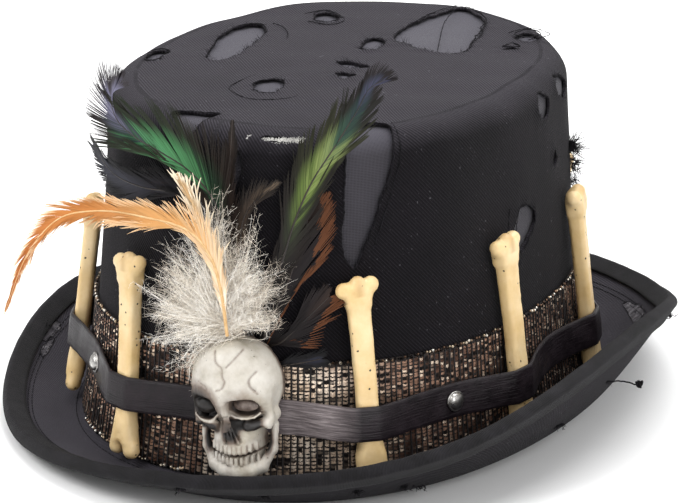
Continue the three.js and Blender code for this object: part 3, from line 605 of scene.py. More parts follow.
def crown_grid(lift, low, every):
    round_arcs, up_side = crown_arcs[::every], rows[::every]
    foot = foot_rise(angle_at(round_arcs)) + low
    along = np.maximum(up_side[:, None], foot[None] * np.maximum(0, 1 - up_side[:, None] / 40))
    arcs = np.broadcast_to(round_arcs[None], along.shape)
    points = crown_surface(arcs, along, lift)
    dent = 0.7 * waves(points, 75, 5) * np.clip(up_side / 60, 0, 1)[:, None]
    _, _, out = axes(arcs, np.minimum(along, 100.0))
    tilt = np.clip((up_side - 118) / 15.7, 0, 1)[:, None, None]
    out = unit(out * (1 - tilt) + np.array([0, 0, 1.0]) * tilt)
    return points + out * dent[..., None], arcs, along, out


def crown_mesh(lift, low, every=1):
    points, arcs, along, out = crown_grid(lift, low, every)
    count_rows, columns = arcs.shape
    flat = points.reshape(-1, 3)
    quads = grid_faces(count_rows, columns, wrap_columns=True)
    middle = flat[-columns:].mean(0)
    flat = np.concatenate([flat, middle[None]])
    last = (count_rows - 1) * columns
    j = np.arange(columns)
    cap = np.stack([last + j, last + (j + 1) % columns, np.full(columns, len(flat) - 1)], -1)
    triangles = np.concatenate([quads[:, [0, 1, 2]], quads[:, [0, 2, 3]], cap])
    uv = np.stack([arcs, along], -1).reshape(-1, 2)
    uv = np.concatenate([uv, [[0, along.max()]]])
    normal = np.concatenate([out.reshape(-1, 3), [[0, 0, 1.0]]])
    top = uv[:, 1] > ROUND_END - 1
    uv = np.where(top[:, None], flat[:, :2], uv)
    return flat, triangles, uv, normal, arcs, along


def build_crown():
    points, triangles, uv, normal, arcs, along = crown_mesh(0.0, GAP)
    side = np.concatenate([np.stack([arcs, along], -1).reshape(-1, 2), [[0, 999]]])
    wrapped = side.copy()
    wrapped[:, 0] = np.where(side[:, 0] > PERIMETER * 0.75, side[:, 0] - PERIMETER, side[:, 0])
    on_top = side[:, 1] > ROUND_END - 6
    distance = np.full(len(points), 50.0)
    tears = []
    for i, tear in enumerate(SIDE_TEARS):
        outline = ragged(smooth_outline(tear), 0.45, i)
        found = np.minimum(outline_distance(wrapped, outline), outline_distance(side, outline))
        distance = np.minimum(distance, found)
        tears.append(("side", outline))
    for i, tear in enumerate(TOP_TEARS):
        outline = ragged(smooth_outline(tear), 0.5, 40 + i)
        found = outline_distance(points[:, :2], outline)
        found = np.where(on_top, found, 50.0)
        distance = np.minimum(distance, found)
        tears.append(("top", outline))
    # The cloth curls up a little round each tear
    curl = np.exp(-np.clip(distance, 0, 20) / 2.2) * (0.5 + 0.5 * waves(points, 9, 3))
    points = points + normal * (0.8 * curl)[:, None]
    extra = np.concatenate([uv, normal], 1)
    points, faces, extra, rim = clip_mesh(points, triangles, distance, extra)
    uv, normal = extra[:, :2], extra[:, 2:]
    # A wall along the torn edges shows the thickness of the cloth
    used = np.unique(rim)
    back = np.full(len(points), -1)
    back[used] = len(points) + np.arange(len(used))
    lowered = points[used] - normal[used] * 0.9
    walls = np.stack([rim[:, 0], back[rim[:, 0]], back[rim[:, 1]], rim[:, 1]], -1)
    points = np.concatenate([points, lowered])
    uv = np.concatenate([uv, uv[used]])
    add_mesh("cover_of_crown", points, [faces, walls], CLOTH, ["crown_cover"], "black_cloth", uv)
    return points[rim], normal[rim[:, 0]], tears


def on_crown(kind, outline, lift):
    """An outline of a tear as points in space, and the way out of the cloth."""
    if kind == "top":
        x, y = outline.T
        z = np.full(len(x), JUNCTION + CROWN_HEIGHT + TOP_DOME * 0.6)
        return np.stack([x, y, z + lift], -1), np.broadcast_to([0, 0, 1.0], (len(x), 3))
    arcs, along = outline.T
    points = crown_surface(arcs, along, lift)
    _, _, out = axes(arcs, np.minimum(along, 100.0))
    tilt = np.clip((along - 118) / 15.7, 0, 1)[:, None]
    return points, unit(out * (1 - tilt) + np.array([0, 0, 1.0]) * tilt)


def fuzz(origins, outward, count, length, spread, radius, lift=0.6, seed=1, steps=4):
    """Short loose threads that start at the origins."""
    local = np.random.default_rng(seed)
    pick = local.integers(0, len(origins), count)
    start = origins[pick]
    away = unit(outward[pick] * lift + local.normal(size=(count, 3)) * spread)
    bend = local.normal(size=(count, 3)) * 0.6
    size = length * local.uniform(0.35, 1.3, count)
    t = np.linspace(0, 1, steps)[None, :, None]
    paths = start[:, None] + (away[:, None] * t + bend[:, None] * t**2 * 0.6) * size[:, None, None]
    thick = radius * (1 - 0.6 * np.linspace(0, 1, steps))[None, :] * local.uniform(0.7, 1.3, (count, 1))
    return paths, thick


rim_points, rim_normals, tears = build_crown()


def build_underlayer():
    outer, faces, uv, _, _, _ = crown_mesh(-1.2, 0.0, 2)
    inner = crown_mesh(-2.5, 0.0, 2)[0]
    count = len(outer)
    columns = np.arange(COLUMNS // 2)
    following = (columns + 1) % len(columns)
    foot = np.stack([columns, columns + count, following + count, following], -1)
    points = np.concatenate([outer, inner])
    add_mesh(
        "underlayer_of_crown",
        points,
        [faces, faces[:, ::-1] + count, foot],
        GREY_MESH,
        ["crown_underlayer"],
        "grey_underlayer",
        np.concatenate([uv, uv]),
    )


def build_frays():
    dark = Parts()
    starts = rim_points.mean(1)
    paths, thick = fuzz(starts, rim_normals, 1800, 1.5, 0.8, 0.07, 0.3, 4)
    dark.add(*tubes(paths, thick, 3))
    # A thin, thready lip lies along each tear, broken here and there, and along each line
    seed = 0
    for kind, outline in tears:
        seed += 1
        local = np.random.default_rng(900 + seed)
        for turn in range(2):
            loop = np.concatenate([outline, outline[:1]])
            points, out = on_crown(kind, loop, 0.15)
            wander = np.cumsum(local.normal(0, 0.09, (len(loop), 3)), 0)
            wander -= np.linspace(0, 1, len(loop))[:, None] * wander[-1]
            points = points + wander * 0.5 + out * (0.12 * turn)
            shares = np.linspace(0, TAU, len(loop))
            swell = np.clip(
                0.5 + 0.6 * np.sin(
                    shares * 2 + local.uniform(0, TAU)
                ) + local.normal(0, 0.2, len(loop)),
                0, 1,
            )
            dark.add(*tubes(points[None], (0.06 + 0.2 * swell)[None], 5))
    for kind, group in (("top", TOP_LINES), ("side", SIDE_LINES)):
        for line in group:
            seed += 1
            local = np.random.default_rng(950 + seed)
            outline = smooth_outline(line, 0.6, closed=False)
            points, out = on_crown(kind, outline, -0.02)
            points = points + local.normal(0, 0.05, points.shape)
            size = np.clip(0.15 + local.normal(0, 0.05, len(outline)), 0.05, 0.3)
            dark.add(*tubes(points[None], size[None], 5))
            paths, thick = fuzz(points, out, 50, 0.6, 1.2, 0.06, 0.3, seed)
            dark.add(*tubes(paths, thick, 3))
    # Tufts stand out at the wearer's left of the crown
    for arc, height, size, count in ((208, 92, 5.5, 260), (212, 84, 3.8, 150), (216, 76, 3.2, 100)):
        origin = place(arc, height, 0.2)
        _, _, out = axes(arc, height)
        origins = origin + rng.normal(0, 1.5, (24, 3))
        paths, thick = fuzz(origins, np.tile(out, (24, 1)), count, size, 0.7, 0.13, 0.7, int(arc), 6)
        dark.add(*tubes(paths, thick, 3))
    dark.build("frayed_threads", FRAY, slot="black_cloth")
    pale = Parts()
    local = np.random.default_rng(31)
    count = 300
    arcs = 13.5 + np.arange(count) / count * 23.5 + local.normal(0, 0.15, count)
    middle = 126.0 + 0.4 * np.sin(arcs * 0.2) + local.normal(0, 0.2, count)
    half = local.uniform(0.35, 1.15, count)[:, None] * np.array([-1.0, -0.3, 0.4, 1.0])
    tilt = local.normal(0.15, 0.25, count)[:, None]
    paths, out = on_crown(
        "side", np.stack([arcs[:, None] + tilt * half, middle[:, None] + half], -1).reshape(-1, 2), 0.12
    )
    paths = paths.reshape(count, 4, 3) + out.reshape(count, 4, 3) * local.uniform(
        0, 0.35, (count, 4, 1)
    )
    pale.add(*tubes(paths, 0.09, 3))
    pale.build("white_fray", PALE_FRAY, slot="grey_underlayer")


build_underlayer()
build_frays()


# Brim


def brim_lines(angle, samples):
    """Across the brim at each angle: start points, outward directions, and places across it."""
    start = crown_at(angle, np.zeros_like(angle), -2.5)
    x, y = oval(angle, 122.0, 150.0, 2.08)
    end = np.stack([x - 2, y + 8, start[:, 2]], -1)
    reach = np.linalg.norm(end - start, axis=1)
    out = unit(end - start)
    wall, seat = 2.5, 2.5
    flat_end = wall + seat + (reach - wall - seat) * around_brim("flat", angle)
    rise = JUNCTION + BRIM_ROLL * around_brim("rise", angle) - 1.3
    foot = 2 + foot_rise(angle)
    low = np.maximum(0, foot * (1 - around_brim("dip", angle)))
    lines = []
    for k in range(len(angle)):
        curve = np.linspace(0, 1, 60)[1:]
        line = [(0, foot[k]), (wall, foot[k]), (wall + seat, low[k]), (flat_end[k], low[k])]
        xs = np.concatenate([[p[0] for p in line], flat_end[k] + (reach[k] - flat_end[k]) * curve])
        zs = np.concatenate([[p[1] for p in line], low[k] + (rise[k] - low[k]) * curve**1.25])
        length = np.concatenate([[0], np.cumsum(np.hypot(np.diff(xs), np.diff(zs)))])
        at = np.linspace(0, length[-1], samples)
        lines.append(np.stack([np.interp(at, length, xs), np.interp(at, length, zs)], -1))
    lines = np.array(lines)
    soft = lines.copy()
    for _ in range(3):
        soft[:, 1:-1] = (soft[:, :-2] + 2 * soft[:, 1:-1] + soft[:, 2:]) / 4
    return start, out, soft


BRIM_COLUMNS, BRIM_ROWS = 420, 48
brim_angles = angle_at(np.arange(BRIM_COLUMNS) / BRIM_COLUMNS * PERIMETER)
brim_start, brim_out, brim_line = brim_lines(brim_angles, BRIM_ROWS)
along_line = unit(np.gradient(brim_line, axis=1))
line_normal = np.stack([-along_line[..., 1], along_line[..., 0]], -1)


def brim_point(lift):
    flat = brim_line + line_normal * np.asarray(lift)[..., None]
    xy = brim_start[:, None, :2] + brim_out[:, None, :2] * flat[..., :1]
    return np.concatenate([xy, flat[..., 1:]], -1)


def build_brim():
    samples = BRIM_ROWS
    under = brim_point(np.zeros((BRIM_COLUMNS, samples)))
    wrinkle = 0.35 * waves(under, 45, 8) * np.sin(np.linspace(0, math.pi, samples))[None]
    upper = brim_point(BRIM_WALL + wrinkle)
    loop = np.concatenate([under, upper[:, ::-1]], 1).transpose(1, 0, 2)
    faces = grid_faces(2 * samples, BRIM_COLUMNS, wrap_columns=True, wrap_rows=True)
    round_mm = np.arange(BRIM_COLUMNS) / BRIM_COLUMNS * 850.0
    across = np.concatenate([np.linspace(0, 45, samples), np.linspace(45, 0, samples)])
    uv = np.stack(np.broadcast_arrays(round_mm[None, :], across[:, None]), -1).reshape(-1, 2)
    add_mesh("cloth_of_brim", loop, faces[:, ::-1], BRIM_CLOTH, ["brim"], "black_cloth", uv)
    return under, upper


def build_binding():
    turn = np.linspace(0, math.pi, 9)
    half = BRIM_WALL / 2 + GAP + 1.0
    tape = []
    end = brim_line[:, -1]
    back = -along_line[:, -1]
    normal = line_normal[:, -1]
    middle = end + normal * BRIM_WALL / 2
    width = 7.0

    def at(flat):
        xy = brim_start[:, :2] + brim_out[:, :2] * flat[:, :1]
        return np.concatenate([xy, flat[:, 1:]], 1)

    for s in np.linspace(1, 0, 6)[:-1]:
        tape.append(at(middle + back * width * s + normal * half))
    for a in turn:
        tape.append(at(middle - back * math.sin(a) * 1.3 + normal * half * math.cos(a)))
    for s in np.linspace(0, 1, 6)[1:]:
        tape.append(at(middle + back * width * s - normal * half))
    for s in (1, 0):
        tape.append(at(middle + back * width * s - normal * (half - 0.8)))
    for s in (0, 1):
        tape.append(at(middle + back * width * s + normal * (half - 0.8)))
    tape = np.array(tape)
    tape[:, :, 2] += 0.18 * waves(tape, 12, 21)
    faces = grid_faces(len(tape), BRIM_COLUMNS, wrap_columns=True, wrap_rows=True)
    round_mm = np.arange(BRIM_COLUMNS) / BRIM_COLUMNS * 860.0
    across = np.arange(len(tape)) * 1.2
    uv = np.stack(np.broadcast_arrays(round_mm[None, :], across[:, None]), -1).reshape(-1, 2)
    add_mesh("tape_on_brim", tape, faces, BINDING, ["brim_binding"], "binding_tape", uv)


brim_under, brim_top = build_brim()
build_binding()


def brim_at(direction, share, lift):
    """A place on the brim: degrees from the front, share of its width and height above the cloth."""
    angle = np.radians(direction) % TAU
    order = np.concatenate([brim_angles, [TAU]])
    column = np.interp(angle, order, np.arange(BRIM_COLUMNS + 1)) % BRIM_COLUMNS
    row = np.clip(share, 0, 1) * (BRIM_ROWS - 1)
    i, j = np.floor(column).astype(int), np.minimum(np.floor(row).astype(int), BRIM_ROWS - 2)
    u, v = (column - i)[..., None], (row - j)[..., None]
    after = (i + 1) % BRIM_COLUMNS

    def blended(points):
        near = points[i, j] * (1 - u) + points[after, j] * u
        far = points[i, j + 1] * (1 - u) + points[after, j + 1] * u
        return near * (1 - v) + far * v

    surface = blended(brim_top)
    under = blended(brim_under)
    return surface + unit(surface - under) * np.asarray(lift)[..., None]


def build_stitches():
    """Two rows of sewing run round the brim inside the binding, and one along the crown's foot."""
    local = np.random.default_rng(61)
    parts = Parts()
    for share, count in ((0.72, 330), (0.765, 330), (0.18, 250)):
        middle = (np.arange(count) + local.normal(0, 0.05, count)) / count * 360
        half = 360 / count * 0.36
        reach = middle[:, None] + np.array([-1.0, -0.5, 0.5, 1.0]) * half
        lifts = np.broadcast_to(np.array([-0.05, 0.16, 0.16, -0.05]), reach.shape)
        paths = brim_at(
            reach, np.full(reach.shape, share) + 0.001 * np.sin(np.radians(reach) * 9), lifts
        )
        parts.add(*tubes(paths, 0.17, 4))
    parts.build("sewing", FRAY, slot="black_cloth")


def patch_look():
    look = Look("worn_patch", "4a484c", 0.85)
    at = look.noise(look.place(), 300, 5, 0.65)
    streak = look.stripes(look.uv(), "X", 1.6, 3.0)
    base = look.ramp(at, [(0.3, "1c1a1d"), (0.5, "4d4a4f"), (0.75, "8b888c")])
    look.put("Base Color", look.mix(look.ramp(streak, [(0.3, 0.55), (0.7, 0.0)]), base, "161417"))
    look.put("Specular IOR Level", 0.2)
    look.bump(at, 0.6)
    return look.material


PATCH = patch_look()
# Worn patches of the brim: direction, share of the width, half length in degrees, half width
WORN = [
    (130.7, 0.7, 6.5, 0.07), (-75.7, 0.79, 3.4, 0.045), (-71, 0.74, 3.0, 0.04), (172, 0.6, 4.0, 0.05),
    (-140, 0.5, 5.0, 0.06),
]


def build_patches():
    """Thin rubbed places whose frayed rims stand up from the cloth."""
    local = np.random.default_rng(71)
    worn, rims = Parts(), Parts()
    for direction, share, long, wide in WORN:
        turn = np.linspace(0, TAU, 48, endpoint=False)
        shape = 1 + 0.14 * np.sin(
            3 * turn + local.uniform(0, 6)
        ) + 0.09 * np.sin(7 * turn + local.uniform(0, 6))
        shape += local.normal(0, 0.04, 48)
        rings = []
        for k, size in enumerate((1.0, 0.7, 0.4, 0.12)):
            lean = 0.25 * np.sin(turn)
            rings.append(
                brim_at(
                    direction + long * size * shape * (np.cos(turn) + lean),
                    share + wide * size * shape * np.sin(turn),
                    np.full(48, (0.05, 0.14, 0.14, 0.12)[k]),
                )
            )
        loop = np.concatenate(rings)
        uv = np.stack([loop[:, 0] + loop[:, 1], loop[:, 1] - loop[:, 0]], -1)
        worn.add(loop, grid_faces(4, 48, wrap_columns=True), uv)
        rim = np.concatenate([rings[0], rings[0][:1]])
        rims.add(*tubes(rim[None], (0.12 + 0.1 * local.random((1, 49))), 4))
        paths, thick = fuzz(
            rings[0], np.tile([0, 0, 1.0], (48, 1)), 90, 1.4, 0.9, 0.06, 0.3, int(long * 10)
        )
        rims.add(*tubes(paths, thick, 3))
    worn.build("worn_patches", PATCH, slot="black_cloth")
    rims.build("patch_rims", FRAY, slot="black_cloth")


def build_tatters():
    """Torn scraps and loose threads of cloth along the brim and the binding."""
    local = np.random.default_rng(81)
    parts = Parts()
    # Direction, share of the brim's width, and whether it hangs on the upper or the outer side
    scraps = [
        (4, 0.95, 0), (16.5, 0.72, 0), (33, 0.62, 0), (42.8, 0.47, 0), (46.6, 0.32, 0), (78, 0.4, 0),
        (112, 0.9, 0),
    ]
    scraps += [(205, 0.9, 1), (240, 0.92, 1), (285, 0.88, 1)]
    for direction, share, upper in scraps:
        height = 0.2 if upper else -BRIM_WALL - (1.5 if share > 0.84 else 0.3)
        origin = brim_at(np.array(direction + 0.0), np.array(share), np.array(height))
        origins = origin + local.normal(0, 1.1, (30, 3)) * [1, 1, 0.3]
        away = np.array(
            [
                math.sin(math.radians(direction)), -math.cos(math.radians(direction)),
                0.6 if upper else -0.4,
            ]
        )
        paths, thick = fuzz(
            origins, np.tile(away, (30, 1)), 80, 1.1, 0.9, 0.16, 0.5, int(direction) + 500, 4
        )
        parts.add(*tubes(paths, thick, 3))
    # A loose thread with a knot at its end stands out from the brim at the wearer's left
    origin = brim_at(np.array(89.0), np.array(0.57), np.array(-BRIM_WALL - 0.1))
    bends = np.array([(0, 0, 0), (3.2, 1.5, 0.7), (6.5, 3.1, 0.5), (9.4, 4.6, -0.5), (11.0, 5.4, -0.3)])
    path = even_path(origin + bends, 44)
    path = path + 0.16 * np.stack([waves(path, 3, 90 + k) for k in range(3)], -1)
    parts.add(*tubes(path[None], np.full((1, 44), 0.3), 5))
    turn = np.linspace(0, TAU * 2, 70)
    knot = np.stack([np.cos(turn * 1.5), np.sin(turn), np.sin(turn * 2.5 + 0.5)], -1)
    parts.add(*tubes((path[-1] + knot * 0.95)[None], np.full((1, 70), 0.42), 5))
    for end in (path[-3:].mean(0), path[:3].mean(0)):
        starts = end + local.normal(0, 0.4, (20, 3))
        paths, thick = fuzz(
            starts, local.normal(size=(20, 3)), 40, 1.0, 0.9, 0.1, 0.5, int(abs(end[0]) * 3), 4
        )
        parts.add(*tubes(paths, thick, 3))
    parts.build("tatters", FRAY, slot="black_cloth")


def even_path(points, samples):
    fine = smooth_outline(points, 0.3, closed=False)
    at = np.concatenate([[0], np.cumsum(np.linalg.norm(np.diff(fine, axis=0), axis=1))])
    even = np.linspace(0, at[-1], samples)
    return np.stack([np.interp(even, at, fine[:, k]) for k in range(3)], -1)


build_stitches()
build_patches()
build_tatters()

# Net band


def build_band():
    local = np.random.default_rng(21)
    parts = Parts()
    steps = 300
    arcs = np.arange(steps) / steps * PERIMETER
    foot = foot_rise(angle_at(arcs)) + 0.6
    shares = np.linspace(0, 1, 10)
    ring_heights = foot[None] + (BAND_HEIGHT - foot[None]) * shares[:, None]
    outer = place(arcs, ring_heights, 0.95)
    inner = place(arcs, ring_heights, 0.35)[::-1]
    loop = np.concatenate([outer, inner])
    uv = np.stack(
        np.broadcast_arrays(arcs[None], np.concatenate([ring_heights, ring_heights[::-1]])), -1
    )
    faces = grid_faces(20, steps, wrap_columns=True, wrap_rows=True)
    add_mesh("net_ground", loop, faces, NET, ["hat_band"], "net_band", uv.reshape(-1, 2))
    # Upright threads
    count = 272
    pitch = PERIMETER / count
    thread_arcs = np.arange(count) * pitch + local.normal(0, 0.12, count)
    t = np.linspace(0, 1, 12)
    low = foot_rise(angle_at(thread_arcs)) + 0.7
    heights = low[:, None] + (BAND_HEIGHT + 0.2 - low)[:, None] * t
    drift = np.cumsum(local.normal(0, 0.07, (count, 12)), 1)
    lift = 1.25 + 0.12 * np.sin(heights * 1.57 + (np.arange(count) % 2)[:, None] * math.pi)
    paths = place(thread_arcs[:, None] + drift, heights, lift)
    parts.add(*tubes(paths, 0.26, 5), value=0.0)
    parts.build("net_threads", THREAD, slot="net_band")
    # Rows of flat metallic yarn that show between the threads
    yarn = Parts()
    rows_of_yarn = 33
    for row in range(rows_of_yarn):
        share = (row + 0.5) / rows_of_yarn
        steps = count * 4
        at = np.arange(steps + 1) / steps * PERIMETER
        base = foot_rise(angle_at(at)) + 1.4
        wobble = np.repeat(local.normal(0, 0.16, count + 1), 4)[: steps + 1]
        height = base + (BAND_HEIGHT - 1.2 - base) * share + local.normal(0, 0.08, steps + 1) + wobble
        phase = at / pitch * math.pi * 2
        lift = 1.15 + 0.3 * -np.cos(phase)
        path = place(at, height, lift)
        across = np.broadcast_to(axes(at, height)[1], path.shape)
        points, faces = ribbons(
            path[None], across[None], np.clip(0.86 + local.normal(0, 0.2, steps + 1), 0.3, 1.25)[None]
        )
        block = np.repeat(local.random(count + 1), 4)[: steps + 1]
        tone = np.repeat(block, 2)
        uv = np.stack([np.repeat(at, 2), np.repeat(height, 2)], -1)
        yarn.add(points, faces, uv, tone)
    yarn.build("metallic_yarn", YARN, slot="net_band")
    # Beads along the top edge and at the lower edge near the wearer's right
    beads = Parts()
    places = []
    arc = 0.0
    while arc < PERIMETER:
        places.append((arc, BAND_HEIGHT + local.normal(0, 0.25), 0.62))
        arc += local.uniform(1.15, 1.5)
    for arc in np.arange(-70, -6, 1.45):
        low = float(foot_rise(angle_at(arc))) + 1.2
        if local.random() < 0.8:
            places.append((arc, low + local.normal(0, 0.25), 0.7))
    ball, ball_faces = bead_shape()
    for arc, height, radius in places:
        turn, up, out = axes(arc, height)
        centre = place(arc, height, 1.35)
        size = radius * local.uniform(0.8, 1.15)
        points = centre + (ball[:, :1] * turn + ball[:, 1:2] * up + ball[:, 2:] * out) * size
        beads.add(points, ball_faces, value=local.random())
    beads.build("band_beads", BEAD, slot="net_band")


def bead_shape(sides=7, rows_of=4):
    rings = []
    for a in np.linspace(0.28, math.pi - 0.28, rows_of):
        turn = np.arange(sides) / sides * TAU
        rings.append(
            np.stack(
                [np.cos(turn) * math.sin(a), np.sin(turn) * math.sin(a), np.full(sides, math.cos(a))],
                -1,
            )
        )
    faces = grid_faces(rows_of, sides, wrap_columns=True)
    return np.concatenate(rings), faces


def net_look():
    look = Look("net_ground", "1c1614", 0.8)
    at = look.noise(look.place(), 90, 3, 0.6)
    look.put("Base Color", look.ramp(at, [(0.3, "0e0b0b"), (0.55, "2a201b"), (0.8, "4a3a30")]))
    look.bump(look.noise(look.place(), 1500, 2, 0.5), 0.5)
    return look.material


def yarn_look():
    look = Look("metallic_yarn", "9a7d5a", 0.4, 0.7)
    uv = look.uv()
    arc = look.node("SeparateXYZ", 0, Vector=uv)
    patch = look.noise(look.place(), 70, 3, 0.6)
    warm = look.ramp(patch, [(0.3, "1a1210"), (0.45, "5b4034"), (0.56, "a98570"), (0.72, "6b5045")])
    # Painted highlight: the yarn turns pale cream over the front, a little towards the wearer's left.
    painted_glints = look.ramp(patch, [(0.28, "5a4a42"), (0.45, "d8bfa6"), (0.6, "f1e2d0"), (0.75, "b39a88")])
    near = look.math("ABSOLUTE", look.math("MULTIPLY_ADD", arc, 1 / 60.0, -0.35))
    base = look.mix(look.ramp(near, [(0.3, 1.0), (0.85, 0.0)]), warm, painted_glints)
    tone = look.value("tone")
    base = look.mix(look.ramp(tone, [(0.12, 1.0), (0.3, 0.0)]), base, "120c0b")
    # Painted glints: random blocks of yarn turn near white.
    base = look.mix(look.ramp(tone, [(0.72, 0.0), (0.95, 0.85)]), base, "f4dcc4")
    look.put("Base Color", base)
    look.put("Roughness", look.ramp(tone, [(0.2, 0.55), (0.9, 0.25)]))
    look.bump(look.stripes(uv, "X", 4.0), 0.3)
    return look.material


def thread_look():
    look = Look("net_thread", "0c0b0d", 0.7)
    look.put(
        "Base Color",
        look.ramp(look.noise(look.place(), 160, 2, 0.5), [(0.35, "09080a"), (0.75, "221d1f")]),
    )
    look.bump(look.noise(look.place(), 2500, 2, 0.5), 0.4)
    return look.material


def bead_look():
    look = Look("seed_bead", "8a8278", 0.25, 0.8)
    tone = look.value("tone")
    look.put(
        "Base Color",
        look.ramp(tone, [(0.2, "171314"), (0.45, "6d5443"), (0.7, "b7a58c"), (0.95, "d8d4cc")]),
    )
    look.put("Roughness", look.ramp(look.noise(look.place(), 800, 2, 0.5), [(0.3, 0.2), (0.7, 0.42)]))
    return look.material


NET, YARN, THREAD, BEAD = net_look(), yarn_look(), thread_look(), bead_look()
build_band()

# Strap and studs

BONE_ARCS = FIRST_BONE + np.arange(9) * BONE_PITCH


def bone_lift(height):
    share = (height - 0.8) / BONE_LENGTH
    return (flare(0.8) + 5.2) * (1 - share) + 4.1 * share - flare(height)


STRAP_HIGH = float(max(bone_lift(20.5), bone_lift(32.5))) + 2.3 + 2 * GAP


def strap_lift(arc):
    apart = np.abs(np.mod(np.asarray(arc, float)[..., None] - BONE_ARCS, PERIMETER))
    nearest = np.minimum(apart, PERIMETER - apart).min(-1)
    share = np.clip((nearest - 4.5) / 27, 0, 1)
    return 1.4 + (STRAP_HIGH - 1.4) * (1 - share) ** 1.7


def strap_look():
    look = Look("satin_leatherette", "0d0c0f", 0.38)
    uv = look.uv()
    scuffs = look.noise(look.place(), 130, 5, 0.65)
    stretch = look.noise(look.node("Mapping", Vector=uv, Scale=(0.035, 0.5, 1.0)), 3.0, 4, 0.6)
    arc = look.node("SeparateXYZ", 0, Vector=uv)
    lighter = look.ramp(
        look.math("MULTIPLY", arc, 1 / PERIMETER),
        [(0.02, 0.0), (0.035, 1.0), (0.075, 1.0), (0.09, 0.0)],
    )
    base = look.mix(look.ramp(scuffs, [(0.4, 0.0), (0.75, 1.0)]), "120c10", "251d22")
    base = look.mix(
        look.math("MULTIPLY", lighter, 0.9), base,
        look.ramp(stretch, [(0.25, "3b3536"), (0.5, "6b6263"), (0.75, "a39999")]),
    )
    look.put("Base Color", base)
    look.put("Roughness", look.ramp(scuffs, [(0.3, 0.3), (0.8, 0.55)]))
    look.put("Specular IOR Level", 0.3)
    fine = look.noise(look.place(), 1100, 3, 0.6)
    look.bump(look.math("MULTIPLY_ADD", stretch, 1.2, look.math("MULTIPLY", fine, 0.4)), 0.5)
    return look.material


STRAP_LOOK = strap_look()


def build_strap():
    steps = 520
    arcs = np.arange(steps) / steps * PERIMETER
    lift = strap_lift(arcs)
    local = np.random.default_rng(31)
    slack = np.interp(arcs, [18, 26, 44, 56], [0.2, 1.0, 1.0, 0.2], left=0.2, right=0.2)
    wave = np.zeros(steps)
    for k in (31, 47, 73, 101):
        wave += np.sin(arcs / PERIMETER * TAU * k + local.uniform(0, TAU)) / (k / 31) ** 0.7
    profile = []
    for k in range(9):
        profile.append((20.5 + 12 * k / 8, 0.0))
    profile += [(32.75, 0.3), (32.8, 0.6), (32.7, 0.95)]
    for k in range(13):
        across = 1 - k / 12
        profile.append((20.5 + 12 * across, 1.2))
    profile += [(20.3, 0.95), (20.2, 0.6), (20.25, 0.3)]
    ring = []
    uvs = []
    for k, (height, out) in enumerate(profile):
        across = (height - 26.5) / 6
        crease = np.sin(arcs * 0.33 + across * 2.2) * 0.28 * slack + wave * 0.12 * (0.3 + slack)
        edge = 0.25 * (1 - across**2)
        bulge = (crease + edge) * (0.2 if out < 0.5 else 1.0)
        shift = 0.5 * np.sin(arcs / PERIMETER * TAU * 5 + 1) * 0.4
        ring.append(place(arcs, height + shift, lift + out + np.maximum(bulge, -0.15)))
        uvs.append(np.stack([arcs, np.full(steps, k * 1.0)], -1))
    faces = grid_faces(len(ring), steps, wrap_columns=True, wrap_rows=True)
    add_mesh(
        "satin_strap", np.array(ring), faces, STRAP_LOOK, ["strap"], "strap_leatherette",
        np.array(uvs).reshape(-1, 2),
    )


def stud_look():
    look = Look("worn_nickel", "a9a8a6", 0.3, 1.0)
    worn = look.noise(look.place(), 420, 5, 0.65)
    look.put("Base Color", look.ramp(worn, [(0.3, "6a645c"), (0.5, "a5a3a0"), (0.75, "cfcdc9")]))
    look.put("Roughness", look.ramp(worn, [(0.3, 0.45), (0.7, 0.22)]))
    look.bump(look.noise(look.place(), 900, 3, 0.6), 0.15)
    return look.material


STUD_LOOK = stud_look()
STUD_ARCS = FIRST_BONE + np.array([0.55, 2.4, 3.5, 4.5, 5.5, 7.6]) * BONE_PITCH


def build_studs():
    outline = [
        (0.3, -0.35), (3.0, -0.35), (3.75, -0.1), (3.8, 0.2), (3.7, 0.45), (3.45, 0.55), (3.25, 0.5)
    ]
    outline += [(3.15 * math.cos(a), 0.5 + 1.65 * math.sin(a)) for a in np.linspace(0, 1.5, 9)]
    outline = np.array(outline)
    sides = 32
    turn = np.arange(sides) / sides * TAU
    local = np.random.default_rng(41)
    for i, arc in enumerate(STUD_ARCS):
        seat = float(strap_lift(arc)) + 1.2 + 2 * GAP
        round_way, up, out = axes(arc, STRAP_HEIGHT)
        centre = place(arc, STRAP_HEIGHT, seat)
        dent = 1 + 0.03 * np.sin(turn * 3 + local.uniform(0, TAU))
        rings = [
            centre + (
                np.cos(turn)[:, None] * round_way + np.sin(turn)[:, None] * up
            ) * (r * dent)[:, None] + out * z
            for r, z in outline
        ]
        cap = centre + out * 2.18
        points = np.concatenate(rings + [cap[None], (centre - out * 0.3)[None]])
        faces = grid_faces(len(outline), sides, wrap_columns=True)
        last = (len(outline) - 1) * sides
        j = np.arange(sides)
        top = np.stack([last + j, last + (j + 1) % sides, np.full(sides, len(points) - 2)], -1)
        base = np.stack([(j + 1) % sides, j, np.full(sides, len(points) - 1)], -1)
        add_mesh(
            f"domed_stud_{i + 1}", points, [faces, top, base], STUD_LOOK, [f"stud_{i + 1}"],
            "stud_metal",
        )


build_strap()
build_studs()

# Solids from a distance field


